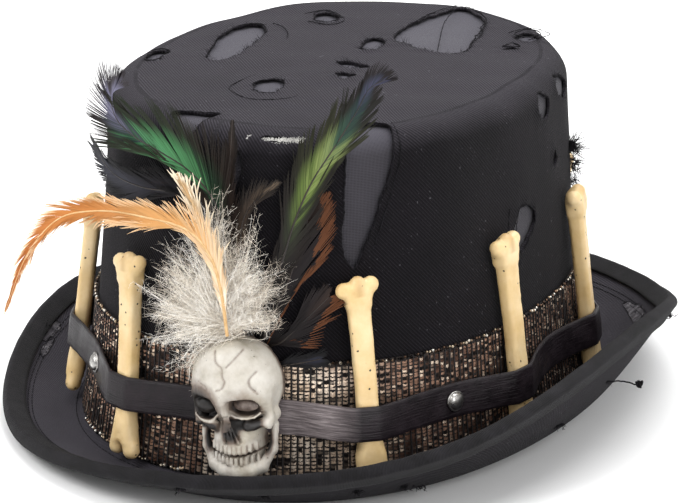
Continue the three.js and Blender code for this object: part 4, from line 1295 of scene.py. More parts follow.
def surface_net(field, low, step):
    """A mesh of quads where the field changes sign. The field is negative inside."""
    shape = np.array(field.shape) - 1
    total = np.zeros(tuple(shape) + (3,))
    count = np.zeros(tuple(shape))
    for axis in range(3):
        u, v = (axis + 1) % 3, (axis + 2) % 3
        for du in (0, 1):
            for dv in (0, 1):
                a_slice, b_slice = [slice(None)] * 3, [slice(None)] * 3
                a_slice[axis], b_slice[axis] = slice(0, -1), slice(1, None)
                for at, d in ((u, du), (v, dv)):
                    a_slice[at] = b_slice[at] = slice(d, shape[at] + d)
                a, b = field[tuple(a_slice)], field[tuple(b_slice)]
                cross = (a < 0) != (b < 0)
                t = np.where(cross, a / np.where(cross, a - b, 1), 0)
                total[..., axis] += t
                total[..., u] += cross * du
                total[..., v] += cross * dv
                count += cross
    active = count > 0
    index = np.full(tuple(shape), -1)
    index[active] = np.arange(active.sum())
    cells = np.argwhere(active)
    points = np.asarray(low) + step * (cells + total[active] / count[active][:, None])
    faces = []
    for axis in range(3):
        u, v = (axis + 1) % 3, (axis + 2) % 3
        f = np.moveaxis(field, (axis, u, v), (0, 1, 2))
        n = np.moveaxis(index, (axis, u, v), (0, 1, 2))
        a, b = f[:-1, 1:-1, 1:-1], f[1:, 1:-1, 1:-1]
        for sign in (True, False):
            i, j, k = np.nonzero(((a < 0) != (b < 0)) & ((a < 0) == sign))
            j, k = j + 1, k + 1
            quad = np.stack([n[i, j - 1, k - 1], n[i, j, k - 1], n[i, j, k], n[i, j - 1, k]], -1)
            faces.append(quad if sign else quad[:, ::-1])
    return points, np.concatenate(faces)


def field_grid(low, high, step):
    spans = [np.arange(a, b + step, step) for a, b in zip(low, high)]
    return np.stack(np.meshgrid(*spans, indexing="ij"), -1)


def ball(p, centre, size):
    q = (p - np.array(centre, float)) / np.array(size, float)
    length = np.linalg.norm(q, axis=-1)
    return (length - 1) * float(np.min(size)) * 1.0


def rod(p, a, b, radius, radius_b=None):
    a, b = np.array(a, float), np.array(b, float)
    ab = b - a
    t = np.clip(((p - a) @ ab) / (ab @ ab), 0, 1)
    radius_b = radius if radius_b is None else radius_b
    return np.linalg.norm(p - a - t[..., None] * ab, axis=-1) - (radius + (radius_b - radius) * t)


def join(a, b, soft):
    h = np.clip(0.5 + 0.5 * (b - a) / soft, 0, 1)
    return b * (1 - h) + a * h - soft * h * (1 - h)


def carve(a, b, soft):
    return -join(-a, b, soft)


def bone_look():
    look = Look("aged_resin_bone", "e6cfa0", 0.5)
    at = look.place()
    stain = look.noise(at, 55, 5, 0.6)
    base = look.ramp(stain, [(0.22, "b78f56"), (0.38, "d2b37d"), (0.6, "e0c698"), (0.8, "e8d6b0")])
    dots = look.node("TexVoronoi", "Distance", Vector=at, Scale=310.0, Randomness=1.0)
    pick = look.node(
        "SeparateColor", 0,
        Color=look.node("TexVoronoi", "Color", Vector=at, Scale=310.0, Randomness=1.0),
    )
    dots = look.ramp(
        look.math("MULTIPLY_ADD", look.noise(at, 1500, 2, 0.6), 0.16, dots), [(0.17, 1.0), (0.23, 0.0)]
    )
    dots = look.math("MULTIPLY", dots, look.ramp(pick, [(0.45, 0.0), (0.5, 1.0)]))
    base = look.mix(dots, base, "20160c")
    shade = look.value("tone")
    base = look.mix(look.math("MULTIPLY", shade, 0.6), base, "a67c3f")
    look.put("Base Color", base)
    look.put("Roughness", look.ramp(stain, [(0.3, 0.55), (0.7, 0.38)]))
    look.put("Subsurface Weight", 0.05)
    look.put("Subsurface Radius", (0.004, 0.0025, 0.0015))
    look.bump(look.math("MULTIPLY_ADD", dots, -0.8, look.noise(at, 300, 3, 0.6)), 0.3)
    return look.material


BONE_LOOK = bone_look()


def slab(p, half_width, half_depth, round_off):
    """A rounded bar along y."""
    x = np.abs(p[..., 0]) - (half_width - round_off)
    z = np.abs(p[..., 2]) - (half_depth - round_off)
    return np.hypot(np.maximum(x, 0), np.maximum(z, 0)) + np.minimum(np.maximum(x, z), 0) - round_off


def bone_field(p, kind):
    """A bone whose shaft runs up y. kind picks one of the castings."""
    x, y, z = p[..., 0], p[..., 1], p[..., 2]
    bend = (0.5, -0.35, 0.25)[kind] * np.sin(np.pi * y / 78.5)
    q = p.copy()
    q[..., 0] = x - bend
    waist = 3.85 + 0.35 * ((y - 38) / 30) ** 2
    shaft = slab(q / (waist / 3.85)[..., None], 3.85, 2.9, 1.9)
    shaft = np.maximum(shaft, np.maximum(7 - y, y - 70))
    neck = rod(p, (0, 66, 0), (0, 70, 0.2), 3.6, 5.2)
    left_knob = rod(p, (-2.4, 71.4, 0), (-5.0, (72.7, 73.4, 72.2)[kind], 0.5), 3.4, 2.9)
    right_knob = rod(p, (2.4, 71.4, 0), (5.0, (73.6, 72.6, 73.4)[kind], 0.4), 3.4, 2.9)
    middle = ball(p, (0.3, 73.4, 1.0), (3.2, 3.7, 3.1))
    head = join(join(join(left_knob, right_knob, 0.8), middle, 0.6), neck, 1.2)
    head = join(head, slab(p, 4.6, 3.4, 1.5) + np.maximum(0, np.abs(y - 69.0) - 3.0), 0.8)
    head = carve(head, rod(p, (-2.1, 76.6, 4.6), (-1.0, 70.0, 5.0), 0.7, 1.2), 0.8)
    head = carve(head, rod(p, (2.5, 76.8, 4.4), (1.4, 70.5, 5.0), 0.6, 1.1), 0.8)
    head = carve(head, rod(p, (0.3, 66.8, 4.9), (0.3, 69.4, 4.9), 1.5, 0.9), 1.2)
    if kind == 2:
        foot = join(
            ball(p, (0, 7.5, 0), (5.4, 7.4, 3.9)), rod(p, (0, 12, 0), (0, 19, 0), 4.6, 3.4), 3.0
        )
    else:
        reach = (3.9, 4.4)[kind]
        left = rod(p, (-0.6, 14, 0), (-reach, 4.2, 0.2), 3.4, (3.2, 2.7)[kind])
        rightward = rod(p, (1.0, 11, 0), (reach, (3.8, 3.2)[kind], 0.2), 3.2, 3.0)
        hook = rod(p, (reach - 1, 3.4, 0), (reach + (0.9, 1.6)[kind], (5.6, 2.6)[kind], 0.2), 2.4, 1.9)
        foot = join(join(left, rightward, 1.6), hook, 0.8)
        foot = carve(foot, rod(p, (-0.4, 1.5, 4.4), (-0.1, 10.0, 4.9), 1.2, 1.5), 1.4)
        foot = carve(foot, rod(p, (-0.2, -1.4, -3), (-0.2, -1.4, 5), 1.7), 1.2)
    all_of = join(join(shaft, head, 1.2), foot, 2.0)
    # The back is cast flat
    return np.maximum(all_of, -(z + 3.2))


def bone_frame(arc):
    low = 0.8 + float(foot_rise(angle_at(arc)))
    foot = place(arc + 2.5, low, 5.2)
    head = place(arc - 2.5, low + BONE_LENGTH, 4.1)
    y = unit(head - foot)
    x = unit(np.cross(y, axes(arc, BONE_LENGTH / 2)[2]))
    return foot, x, y, unit(np.cross(x, y))


def build_bones():
    low, high, step = (-8.6, -1.0, -4.6), (8.6, 80.0, 5.0), 0.74
    grid = field_grid(low, high, step)
    castings = []
    for kind in range(3):
        field = bone_field(grid, kind)
        rough = 0.12 * waves(grid, 11, 60 + kind) + 0.05 * waves(grid, 3, 70 + kind)
        points, faces = surface_net(field + rough, low, step)
        points[:, 1] = np.clip(points[:, 1], 0.05, BONE_LENGTH - 0.05)
        points[:, 0] = np.clip(points[:, 0], -7.9, 7.9)
        points[:, 2] = np.clip(points[:, 2], -3.8, 3.8)
        hollow = np.exp(-((points[:, 0] / 1.6) ** 2)) * (
            np.abs(points[:, 1] - 39) > 31
        ) * (points[:, 2] > 0)
        edge = np.clip(-points[:, 2] / 3.2, 0, 1) * 0.5
        castings.append((points, faces, np.clip(hollow * 0.8 + edge, 0, 1)))
    kinds = (2, 0, 1, 2, 0, 1, 0, 1, 0)
    for i, arc in enumerate(BONE_ARCS):
        points, faces, shade = castings[kinds[i]]
        foot, x, y, z = bone_frame(float(arc))
        points = foot + points[:, :1] * x + points[:, 1:2] * y + points[:, 2:] * z
        add_mesh(
            f"resin_bone_{i + 1}", points, faces, BONE_LOOK, [f"bone_{i + 1}"], "bone_plastic",
            values={"tone": shade},
        )


build_bones()

# Skull


def skull_look():
    look = Look("painted_skull", "cfc7b8", 0.5)
    at = look.place()
    cloud = look.noise(at, 110, 5, 0.62)
    base = look.ramp(cloud, [(0.25, "958e80"), (0.42, "b3ada2"), (0.6, "c2bdb4"), (0.8, "cfcbc3")])
    yellow = look.ramp(look.noise(at, 65, 3, 0.5), [(0.5, 0.0), (0.75, 0.35)])
    base = look.mix(yellow, base, "c4b895")
    shade = look.value("tone")
    mist = look.math(
        "MULTIPLY_ADD", look.noise(at, 260, 4, 0.6), 0.3, look.math("MULTIPLY", shade, 1.05)
    )
    base = look.mix(look.ramp(mist, [(0.18, 0.0), (0.55, 0.85)]), base, "5f4a3d")
    base = look.mix(look.ramp(mist, [(0.45, 0.0), (0.88, 0.97)]), base, "0b0808")
    specks = look.ramp(look.noise(at, 700, 3, 0.7), [(0.68, 0.0), (0.74, 0.8)])
    look.put("Base Color", look.mix(specks, base, "2a241f"))
    look.put("Roughness", look.ramp(cloud, [(0.3, 0.6), (0.7, 0.4)]))
    look.put("Subsurface Weight", 0.05)
    look.put("Subsurface Radius", (0.003, 0.002, 0.0015))
    look.bump(look.noise(at, 420, 4, 0.65), 0.35)
    return look.material


def lens_look():
    look = Look("painted_eye", "6d6c5e", 0.45)
    swirl = look.noise(look.place(), 260, 4, 0.6)
    look.put("Base Color", look.ramp(swirl, [(0.3, "2c2420"), (0.5, "5d5049"), (0.75, "8c8078")]))
    look.bump(swirl, 0.2)
    return look.material


SKULL_LOOK, LENS = skull_look(), lens_look()


def skull_field(p):
    """The face in millimetres: x to the wearer's left, y up from the chin, z out of the hat."""
    x, y, z = p[..., 0], p[..., 1], p[..., 2]
    q = p.copy()
    q[..., 0] = x - np.clip((22 - y) / 22, 0, 1) ** 1.2 * 1.2
    dome = ball(p, (0, 33.0, 3.0), (16.4, 15.9, 16.6))
    brow = ball(p, (0, 29.0, 6.0), (15.2, 7.5, 12.4))
    upper = join(dome, brow, 3.0)
    muzzle = ball(q, (0, 12.5, 5.5), (9.6, 9.0, 10.4))
    upper = join(upper, muzzle, 2.4)
    for side in (-1, 1):
        cheek = join(
            rod(q, (side * 6.5, 18.6, 14.0), (side * 12.0, 19.0, 10.5), 1.9, 2.1),
            rod(q, (side * 12.0, 19.0, 10.5), (side * 13.6, 21.5, 4.5), 2.1, 2.2),
            1.0,
        )
        frame_bone = rod(p, (side * 13.6, 21.5, 9.2), (side * 13.4, 28.5, 9.6), 1.7, 1.9)
        upper = join(join(upper, cheek, 1.6), frame_bone, 1.4)
        brow_ridge = rod(p, (side * 2.2, 28.7, 17.0), (side * 11.6, 30.2, 12.4), 1.5, 1.3)
        upper = join(upper, brow_ridge, 2.0)
        at = EYES[side]
        offset = np.abs((p - [at[0], at[1], 17.0]) / [at[2], at[3], 6.6])
        socket = ((offset**3).sum(-1) ** (1 / 3) - 1) * 4.0
        upper = carve(upper, socket, 0.6)
        eyeball = ball(p, (at[0] - 0.1, at[1] + 0.9, 11.6), (at[2] * 0.86, at[3] * 0.72, 3.0))
        upper = join(upper, eyeball, 0.4)
        chord = [
            (
                at[0] + at[2] * c * 0.92, at[1] - at[3] * (1.06 - 0.5 * abs(c) ** 3),
                15.6 - 1.3 * abs(at[0] + at[2] * c) / 6,
            )
            for c in np.linspace(-1, 1, 6)
        ]
        for a, b in zip(chord[:-1], chord[1:]):
            upper = join(upper, rod(p, a, b, 0.5), 0.5)
        temple = ball(p, (side * 18.2, 25.5, 8.0), (3.4, 7.0, 5.5))
        upper = carve(upper, temple, 2.0)
        hollow = ball(q, (side * 10.9, 12.2, 12.0), (2.6, 5.8, 9.0))
        upper = carve(upper, hollow, 1.2)
    bridge = rod(p, (-1.4, 30.0, 16.2), (-0.6, 22.4, 17.2), 1.1, 1.3)
    upper = join(upper, bridge, 1.2)
    nose = join(
        rod(q, (-2.4, 13.4, 16.4), (-0.6, 21.8, 17.8), 2.3, 0.9),
        rod(q, (2.4, 13.4, 16.4), (-0.2, 21.8, 17.8), 2.3, 0.9), 0.8,
    )
    upper = carve(upper, nose, 0.5)
    for at in (-2.9, -1.1, 0.7, 2.5):
        fin = rod(q, (at * 0.25 - 0.4, 21.6, 16.6), (at, 12.4, 15.2), 0.4, 0.55)
        upper = join(upper, fin, 0.4)
    jaw = None
    chain = [
        (13.2, 17.5, 4.5, 1.4), (12.4, 9.0, 7.0, 1.5), (8.9, 3.4, 11.0, 2.0), (4.4, 1.9, 13.2, 2.5),
        (0, 1.7, 14.0, 2.7),
    ]
    for side in (-1, 1):
        for a, b in zip(chain[:-1], chain[1:]):
            link = rod(q, (side * a[0], a[1], a[2]), (side * b[0], b[1], b[2]), a[3], b[3])
            jaw = link if jaw is None else join(jaw, link, 1.2)
    gums = ball(q, (0, 5.8, 6.0), (7.9, 5.2, 8.8))
    whole = join(join(upper, jaw, 0.8), gums, 1.0)
    mouth = np.maximum(
        np.maximum(np.abs(q[..., 1] - 7.8 - 0.018 * q[..., 0] ** 2) - 0.35, np.abs(q[..., 0]) - 9.0),
        9.0 - z,
    )
    whole = carve(whole, mouth, 0.6)
    for row, (height, size) in enumerate(((9.9, 1.0), (5.6, 0.9))):
        for k in range(10):
            at = (k - 4.5) * 1.72 + 0.1 * math.sin(k * 2.3 + row)
            depth = 15.7 - 0.07 * at * at - row * 0.3
            tall, rise = 1.0 - 0.04 * abs(k - 4.5), 0.018 * at * at
            low_end, high_end = (at, height - tall + rise, depth), (
                at, height + tall + rise, depth - 0.3
            )
            whole = join(whole, rod(q, low_end, high_end, 0.98 * size, 0.85 * size), 0.12)
    for line in SUTURES:
        for a, b in zip(line[:-1], line[1:]):
            ends = []
            for sx, sy in (a, b):
                ends.append(
                    (
                        sx, sy,
                        3 + math.sqrt(max(0.0, 1 - (sx / 16.4) ** 2 - ((sy - 33) / 15.9) ** 2)) * 16.6,
                    )
                )
            whole = carve(whole, rod(p, ends[0], ends[1], 0.28), 0.5)
    return np.maximum(whole, 0.2 - z)


# Middle of each eye and its half sizes, by side
EYES = {-1: (-8.9, 24.6, 4.5, 4.5), 1: (5.6, 25.4, 5.9, 3.7)}
SUTURES = [
    [(-4.5, 45.0), (-3.4, 42.0), (-0.8, 40.0), (-0.2, 37.0), (0.6, 35.4), (-0.6, 33.0), (-2.4, 32.4)],
    [(-10.5, 34.6), (-7.5, 33.4), (-5.2, 31.4), (-4.4, 29.4)],
    [(5.4, 45.5), (3.4, 43.0), (1.0, 40.4)],
    [(10.8, 38.4), (8.8, 36.0), (9.2, 33.4), (11.4, 31.0)],
]


def skull_frame():
    height = SKULL_FOOT + SKULL_HEIGHT / 2
    turn, up, out = axes(TRIM_ARC, height)
    centre = place(TRIM_ARC, height, 1.4 + STRAP_WALL + 3 * GAP)
    return centre, turn, up, out


def turned(points):
    """The casting is pinned on slightly askew."""
    tilt = math.radians(5.0)
    x, y = points[:, 0], points[:, 1] - SKULL_HEIGHT / 2
    swung = points.copy()
    swung[:, 0] = x * math.cos(tilt) - y * math.sin(tilt) + 0.4
    swung[:, 1] = x * math.sin(tilt) + y * math.cos(tilt)
    return swung


def build_skull():
    low, high, step = (-18.0, -1.5, -0.6), (18.0, 50.5, 22.0), 0.46
    grid = field_grid(low, high, step)
    field = skull_field(grid) + 0.12 * waves(grid, 8, 80) + 0.05 * waves(grid, 2.2, 81)
    points, faces = surface_net(field, low, step)
    points[:, 0] = np.clip(points[:, 0], -16.4, 16.4)
    points[:, 1] = np.clip(points[:, 1], 0.05, SKULL_HEIGHT - 0.05)
    x, y, z = points.T
    shade = np.zeros(len(points))
    low_x = x - np.clip((22 - y) / 22, 0, 1) ** 1.2 * 1.2
    for side in (-1, 1):
        at = EYES[side]
        far = (np.abs((x - at[0]) / at[2]) ** 3 + np.abs((y - at[1]) / at[3]) ** 3) ** (1 / 3)
        deep = np.clip((16.4 - z) / 2.5, 0, 1)
        shade = np.maximum(shade, (1.0, 0.62)[side > 0] * np.clip(3.2 - far * 2.6, 0, 1) * deep)
        mist = np.hypot(
            (x - at[0] + (1.5 if side < 0 else 0)) / 6.5, (y - at[1] - (1.5 if side < 0 else 0)) / 6.5
        )
        shade = np.maximum(shade, (0.75 if side < 0 else 0.3) * np.clip(1.55 - mist, 0, 1))
        under = np.exp(
            -(((x - at[0] - side * 0.8) / 5.0) ** 4) - ((y - at[1] + at[3] + 2.6) / 2.1) ** 4
        ) * 1.2
        shade = np.maximum(shade, under)
        rim = at[1] - at[3] * (1.06 - 0.5 * np.abs((x - at[0]) / at[2] / 0.92) ** 3)
        line = np.exp(-(((y - rim) / 0.55) ** 2)) * (np.abs(x - at[0]) < at[2]) * (z > 12)
        shade = shade * (1 - 0.95 * line)
        shade = np.maximum(
            shade,
            np.exp(-(((low_x - side * 10.9) / 1.7) ** 2) - ((y - 12.0) / 4.2) ** 2) * 1.2 * (z < 13),
        )
    shade = np.maximum(shade, np.exp(-(((low_x + 0.3) / 3.6) ** 2) - ((y - 18.0) / 4.6) ** 2) * 0.62)
    fins = 0.4 * np.exp(-(((low_x + 0.2) / 3.4) ** 4) - ((y - 16.5) / 4.6) ** 4) * (z < 16.2)
    shade = np.maximum(shade, shade + fins)
    shade = np.maximum(
        shade, np.clip(1 - np.abs(y - 7.8 - 0.018 * low_x**2) / 0.8, 0, 1) * 0.7 * (np.abs(low_x) < 9.0)
    )
    shade = np.maximum(shade, np.clip((4.0 - z) / 5.0, 0, 0.5))
    between = 0.3 * (0.5 + 0.5 * np.cos(low_x / 1.72 * TAU)) ** 3 * (
        np.abs(y - 7.8 - 0.018 * low_x**2) < 3.4
    ) * (np.abs(low_x) < 8.8) * (z > 8)
    shade = np.maximum(shade, between)
    lower = 0.14 * np.clip((19 - y) / 8, 0, 1)
    shade = np.clip(np.maximum(shade, lower * (0.6 + 0.4 * waves(points, 6, 83))), 0, 1)
    crack = np.zeros(len(points))
    for line in SUTURES:
        fine = smooth_outline(line, 0.5, closed=False)
        gap = np.min(np.hypot(x[:, None] - fine[None, :, 0], y[:, None] - fine[None, :, 1]), 1)
        crack = np.maximum(crack, np.exp(-((gap / 0.45) ** 2)) * 0.32 * (z > 8))
    shade = np.maximum(shade, crack)
    centre, turn, up, out = skull_frame()
    local = turned(points)
    world_points = centre + local[:, :1] * turn + local[:, 1:2] * up + local[:, 2:] * out
    add_mesh(
        "moulded_skull", world_points, faces, SKULL_LOOK, ["skull"], "skull_plastic",
        values={"tone": shade},
    )
    # A dull, painted eye lies in the socket on the wearer's left
    across, above = np.meshgrid(np.linspace(-1, 1, 25), np.linspace(-1, 1, 15))
    square = np.maximum(np.abs(across), np.abs(above))
    round_off = np.hypot(across, above) / np.maximum(square, 1e-6)
    u, v = across / np.maximum(round_off, 1), above / np.maximum(round_off, 1)
    swell = np.sqrt(np.clip(1 - 0.92 * (u * u + v * v), 0, 1))
    lens = np.stack([5.5 + 5.0 * u, 26.2 + 2.6 * v, 11.8 + 3.0 * swell], -1).reshape(-1, 3)
    lens = turned(lens)
    lens = centre + lens[:, :1] * turn + lens[:, 1:2] * up + lens[:, 2:] * out
    add_mesh("painted_eye", lens, grid_faces(15, 25), LENS, slot="skull_plastic")


build_skull()

# Feathers


def catmull(points, samples):
    """Evenly sampled centripetal Catmull-Rom curve through the points."""
    points = np.asarray(points, float)
    ends = [2 * points[0] - points[1], *points, 2 * points[-1] - points[-2]]
    ends = np.array(ends)
    out = []
    for i in range(1, len(ends) - 2):
        p0, p1, p2, p3 = ends[i - 1 : i + 3]
        d = [max(np.linalg.norm(b - a), 1e-4) ** 0.5 for a, b in ((p0, p1), (p1, p2), (p2, p3))]
        t0, t1 = 0.0, d[0]
        t2, t3 = t1 + d[1], t1 + d[1] + d[2]
        t = np.linspace(t1, t2, 40, endpoint=False)[:, None]
        a1 = (t1 - t) / (t1 - t0) * p0 + (t - t0) / (t1 - t0) * p1
        a2 = (t2 - t) / (t2 - t1) * p1 + (t - t1) / (t2 - t1) * p2
        a3 = (t3 - t) / (t3 - t2) * p2 + (t - t2) / (t3 - t2) * p3
        b1 = (t2 - t) / (t2 - t0) * a1 + (t - t0) / (t2 - t0) * a2
        b2 = (t3 - t) / (t3 - t1) * a2 + (t - t1) / (t3 - t1) * a3
        out.append((t2 - t) / (t2 - t1) * b1 + (t - t1) / (t2 - t1) * b2)
    out.append(points[-1:])
    path = np.concatenate(out)
    length = np.concatenate([[0], np.cumsum(np.linalg.norm(np.diff(path, axis=0), axis=1))])
    at = np.linspace(0, length[-1], samples)
    return np.stack([np.interp(at, length, path[:, k]) for k in range(path.shape[1])], -1), length[-1]


def vane_width(share, half, fullest, start):
    t = np.clip((share - start) / (1 - start), 0, 1)
    power = math.log(0.5) / math.log((fullest - start) / (1 - start))
    return half * np.sin(np.pi * t**power) ** 0.75


def feather_look(name, stops, edge, edge_at=0.55, one_side=0.0, rough=0.42, metallic=0.12):
    """Barbs are coloured along the feather by U and across it by V, from the shaft to the edge."""
    look = Look(name, "15201a", rough, metallic)
    uv = look.uv()
    along = look.node("SeparateXYZ", 0, Vector=uv)
    signed = look.node("SeparateXYZ", 1, Vector=uv)
    across = look.math("ABSOLUTE", signed)
    tone = look.value("tone")
    streak = look.math("MULTIPLY_ADD", tone, 0.16, look.math("SUBTRACT", along, 0.08))
    base = look.ramp(streak, stops)
    if edge:
        rim = look.math("MULTIPLY_ADD", tone, 0.25, across)
        if one_side:
            rim = look.math("ADD", look.math("MULTIPLY", signed, one_side), rim)
        base = look.mix(look.ramp(rim, [(edge_at, 0.0), (edge_at + 0.34, 0.92)]), base, edge)
    base = look.mix(look.ramp(tone, [(0.0, 0.35), (0.4, 0.0)]), base, "060606")
    look.put("Base Color", base)
    look.put("Specular IOR Level", 0.22)
    look.put("Roughness", look.ramp(tone, [(0.0, rough + 0.12), (1.0, rough - 0.1)]))
    look.bump(look.stripes(look.place(), "Z", 900.0), 0.1)
    return look.material


def shaft_look():
    look = Look("quill", "3a2c20", 0.45)
    look.put(
        "Base Color",
        look.ramp(look.noise(look.place(), 90, 2, 0.5), [(0.3, "0f0b09"), (0.7, "2e231b")]),
    )
    look.bump(look.noise(look.place(), 900, 2, 0.5), 0.2)
    return look.material


QUILL = shaft_look()
PALE_QUILL = thread_material("pale_quill", "c9a271", "d8b98c")


def outward(arc, height):
    return axes(arc, np.minimum(height, CROWN_HEIGHT))[2]


def build_feather(name, node, slot, material, points, normals, half, fullest, seed, pitch=0.26,
                  slant=0.4, droop=0.0, start=0.2, cup=0.12, splits=3, loose=0.0, clump=1.0, blunt=0.0):
    """One feather: a tapered shaft and a ribbon for each barb.

    points and normals are the bends and the way the vane faces there, half the greatest half
    width, pitch the space between barbs and slant their lean from the shaft. splits counts the
    gaps between them, loose is how unruly they are, clump how much they cling in locks, and
    blunt how full the tip stays.
    """
    local = np.random.default_rng(seed)
    both = np.concatenate([np.asarray(points), np.asarray(normals) * 20], 1)
    samples, _ = catmull(both, 400)
    path, face = samples[:, :3], unit(samples[:, 3:])
    length = np.linalg.norm(np.diff(path, axis=0), axis=1).sum()
    along = unit(np.gradient(path, axis=0))
    side = unit(np.cross(along, face))
    face = np.cross(side, along)
    parts = Parts()
    shaft = path[::6]
    parts.add(*tubes(shaft[None], np.linspace(0.6, 0.12, len(shaft))[None], 6))
    parts.build(name + "_shaft", PALE_QUILL if slot.startswith("hackle") else QUILL, slot=slot)
    blades = Parts()
    for turn in (-1, 1):
        count = int(length * (1 - start) / pitch)
        share = np.linspace(start, 0.985, count) + local.normal(0, 0.0006, count)
        share = np.clip(share, 0, 0.999)
        width = vane_width(np.clip(share + 0.012, 0, 1), half, fullest, start)
        width = np.maximum(width, half * blunt * np.clip((share - fullest) / (1 - fullest), 0, 1))
        # Barbs cling together in locks, which part at a few places
        parting = np.zeros(count)
        gapped = np.ones(count, bool)
        for _ in range(splits):
            middle = local.uniform(start + 0.08, 0.97)
            wide = local.uniform(0.006, 0.022)
            parting += np.where(share < middle, -1, 1) * np.exp(-np.abs(share - middle) / 0.03) * wide
            gapped &= np.abs(share - middle) > 0.0018
        lock = np.cumsum(local.random(count) < 1 / 9)
        in_lock = np.array([np.mean(share[lock == k]) for k in range(lock[-1] + 1)])[lock]
        gather = (in_lock - share) * length * 0.055 * clump
        lock_size = 1 + local.normal(0, 0.03 + loose * 0.5, lock[-1] + 1)[lock]
        lock_lift = local.normal(0, 0.04 + loose * 0.4, lock[-1] + 1)[lock]
        shag = lock_size * (1 + local.normal(0, 0.015 + loose * 0.6, count))
        reach = width / math.sin(slant - 0.08) * shag + 0.4
        reach = np.minimum(
            reach, (1 - share) * length / math.cos(slant - 0.08) + local.uniform(2.0, 3.5, count)
        )
        steps = 7
        t = np.linspace(0, 1, steps)[None]
        row = np.clip(share * 399, 0, 398.999)
        i = row.astype(int)
        frac = (row - i)[:, None]

        def at(values):
            return values[i] * (1 - frac) + values[i + 1] * frac

        base, f, s, a = at(path), unit(at(face)), unit(at(side)), unit(at(along))
        lean = slant - 0.06 * np.clip((share - 0.75) / 0.25, 0, 1)
        lean = lean[:, None] - 0.16 * t - (gather[:, None] * 0.5 - (parting * 9)[:, None]) * t
        stray = local.normal(0, loose, count)[:, None] * t**1.5
        lean = np.clip(lean + stray, 0.12, 1.5)
        move_out = np.cumsum(np.sin(lean) * (reach / (steps - 1))[:, None], 1)
        move_up = np.cumsum(np.cos(lean) * (reach / (steps - 1))[:, None], 1)
        move_out -= move_out[:, :1]
        move_up -= move_up[:, :1]
        curl = cup * move_out**2 / max(half, 1) + (
            lock_lift + local.normal(0, 0.015 + loose * 0.3, count)
        )[:, None] * move_out
        sag = droop * move_out**2
        paths = (
            base[:, None]
            + s[:, None] * (turn * move_out)[..., None]
            + a[:, None] * move_up[..., None]
            - f[:, None] * np.clip(curl, -1.5, 3.5)[..., None]
        )
        paths[..., 2] -= sag
        across = unit(
            a[:, None] * np.sin(lean)[..., None] - s[:, None] * (turn * np.cos(lean))[..., None]
        )
        taper = np.array(
            [0.9, 1.0, 1.0, 1.0, 0.9, 0.7, 0.25]
        )[None] * pitch * (1.35 - 1.2 * min(loose, 0.3))
        keep = gapped & (width > 0.3)
        tone = 0.45 * local.random(count) + 0.3 * local.random(lock[-1] + 1)[lock]
        tone = tone + 0.25 * np.convolve(local.random(count), np.ones(9) / 9, "same")
        points_of, faces = ribbons(
            paths[keep], across[keep], np.broadcast_to(taper, paths[keep].shape[:2])
        )
        v = np.repeat(np.broadcast_to(t, (keep.sum(), steps)).reshape(-1), 2)
        u = np.repeat(np.repeat(share[keep], steps), 2)
        side_of = np.stack([u, v * (1 if turn > 0 else -1)], -1)
        blades.add(points_of, faces, side_of, np.repeat(np.repeat(tone[keep], steps), 2))
    blades.build(name, material, replaces=[node], slot=slot)


# The pale lavender towards the tip of the left green feather is a painted sheen.
GREEN_LEFT = feather_look(
    "green_coque_left",
    [
        (0.2, "0a0909"), (0.42, "14110f"), (0.5, "1a3022"), (0.57, "3f7449"), (0.68, "4a8557"),
        (0.75, "1f3a2a"), (0.82, "3c3b4b"), (0.92, "77758e"), (1.0, "55536a"),
    ],
    "1d130f", edge_at=0.42,
)
GREEN_RIGHT = feather_look(
    "green_coque_right",
    [
        (0.2, "0c0b0b"), (0.38, "1a1613"), (0.48, "262c1c"), (0.58, "56682f"), (0.66, "7b8850"),
        (0.75, "2b4434"), (0.85, "1a282b"), (0.94, "3a3b50"), (1.0, "23222b"),
    ],
    "17110e", edge_at=0.4,
)
DARK = feather_look(
    "dark_coque", [(0.2, "0a090a"), (0.6, "131116"), (0.85, "1c1d2a"), (1.0, "1b1a22")], "0d0c0e"
)
BROWN = feather_look(
    "brown_coque", [(0.2, "1a1310"), (0.6, "2b2019"), (1.0, "1d1613")], "17110e", rough=0.6,
    metallic=0.0,
)
FORKED = feather_look(
    "mottled_coque", [(0.2, "15110f"), (0.5, "4a3c30"), (0.75, "2b221c"), (1.0, "5b4d3e")], "1a1512",
    rough=0.6, metallic=0.0,
)
RUST = feather_look(
    "rust_edged_coque", [
        (0.12, "0d0b0c"), (0.6, "1b1516"), (1.0, "2a1d17")
    ], "61391f", edge_at=0.98, one_side=0.3, rough=0.5,
)
ORANGE = feather_look(
    "orange_hackle",
    [
        (0.0, "efe8da"), (0.12, "e6d2b2"), (0.3, "cf9c62"), (0.6, "bd7b40"), (0.85, "a9602a"),
        (1.0, "8f4715"),
    ],
    "e6c39a", edge_at=0.75, rough=0.6, metallic=0.0,
)
CREAM = feather_look(
    "cream_hackle", [(0.0, "e8ddc8"), (0.5, "e2d3b8"), (0.85, "b99a72"), (1.0, "8a6a48")], "e9dcc4",
    rough=0.65, metallic=0.0,
)


def spray_frame(bends, quill=None):
    places, faces = [], []
    if quill is not None:
        arc = TRIM_ARC + quill * 1.7
        places.append(place(arc, 40.0, 1.85))
        faces.append(axes(arc, 40.0)[2])
    for arc, height, lift in bends:
        places.append(place(TRIM_ARC + arc, height, lift))
        faces.append(outward(TRIM_ARC + arc, height))
    return places, faces


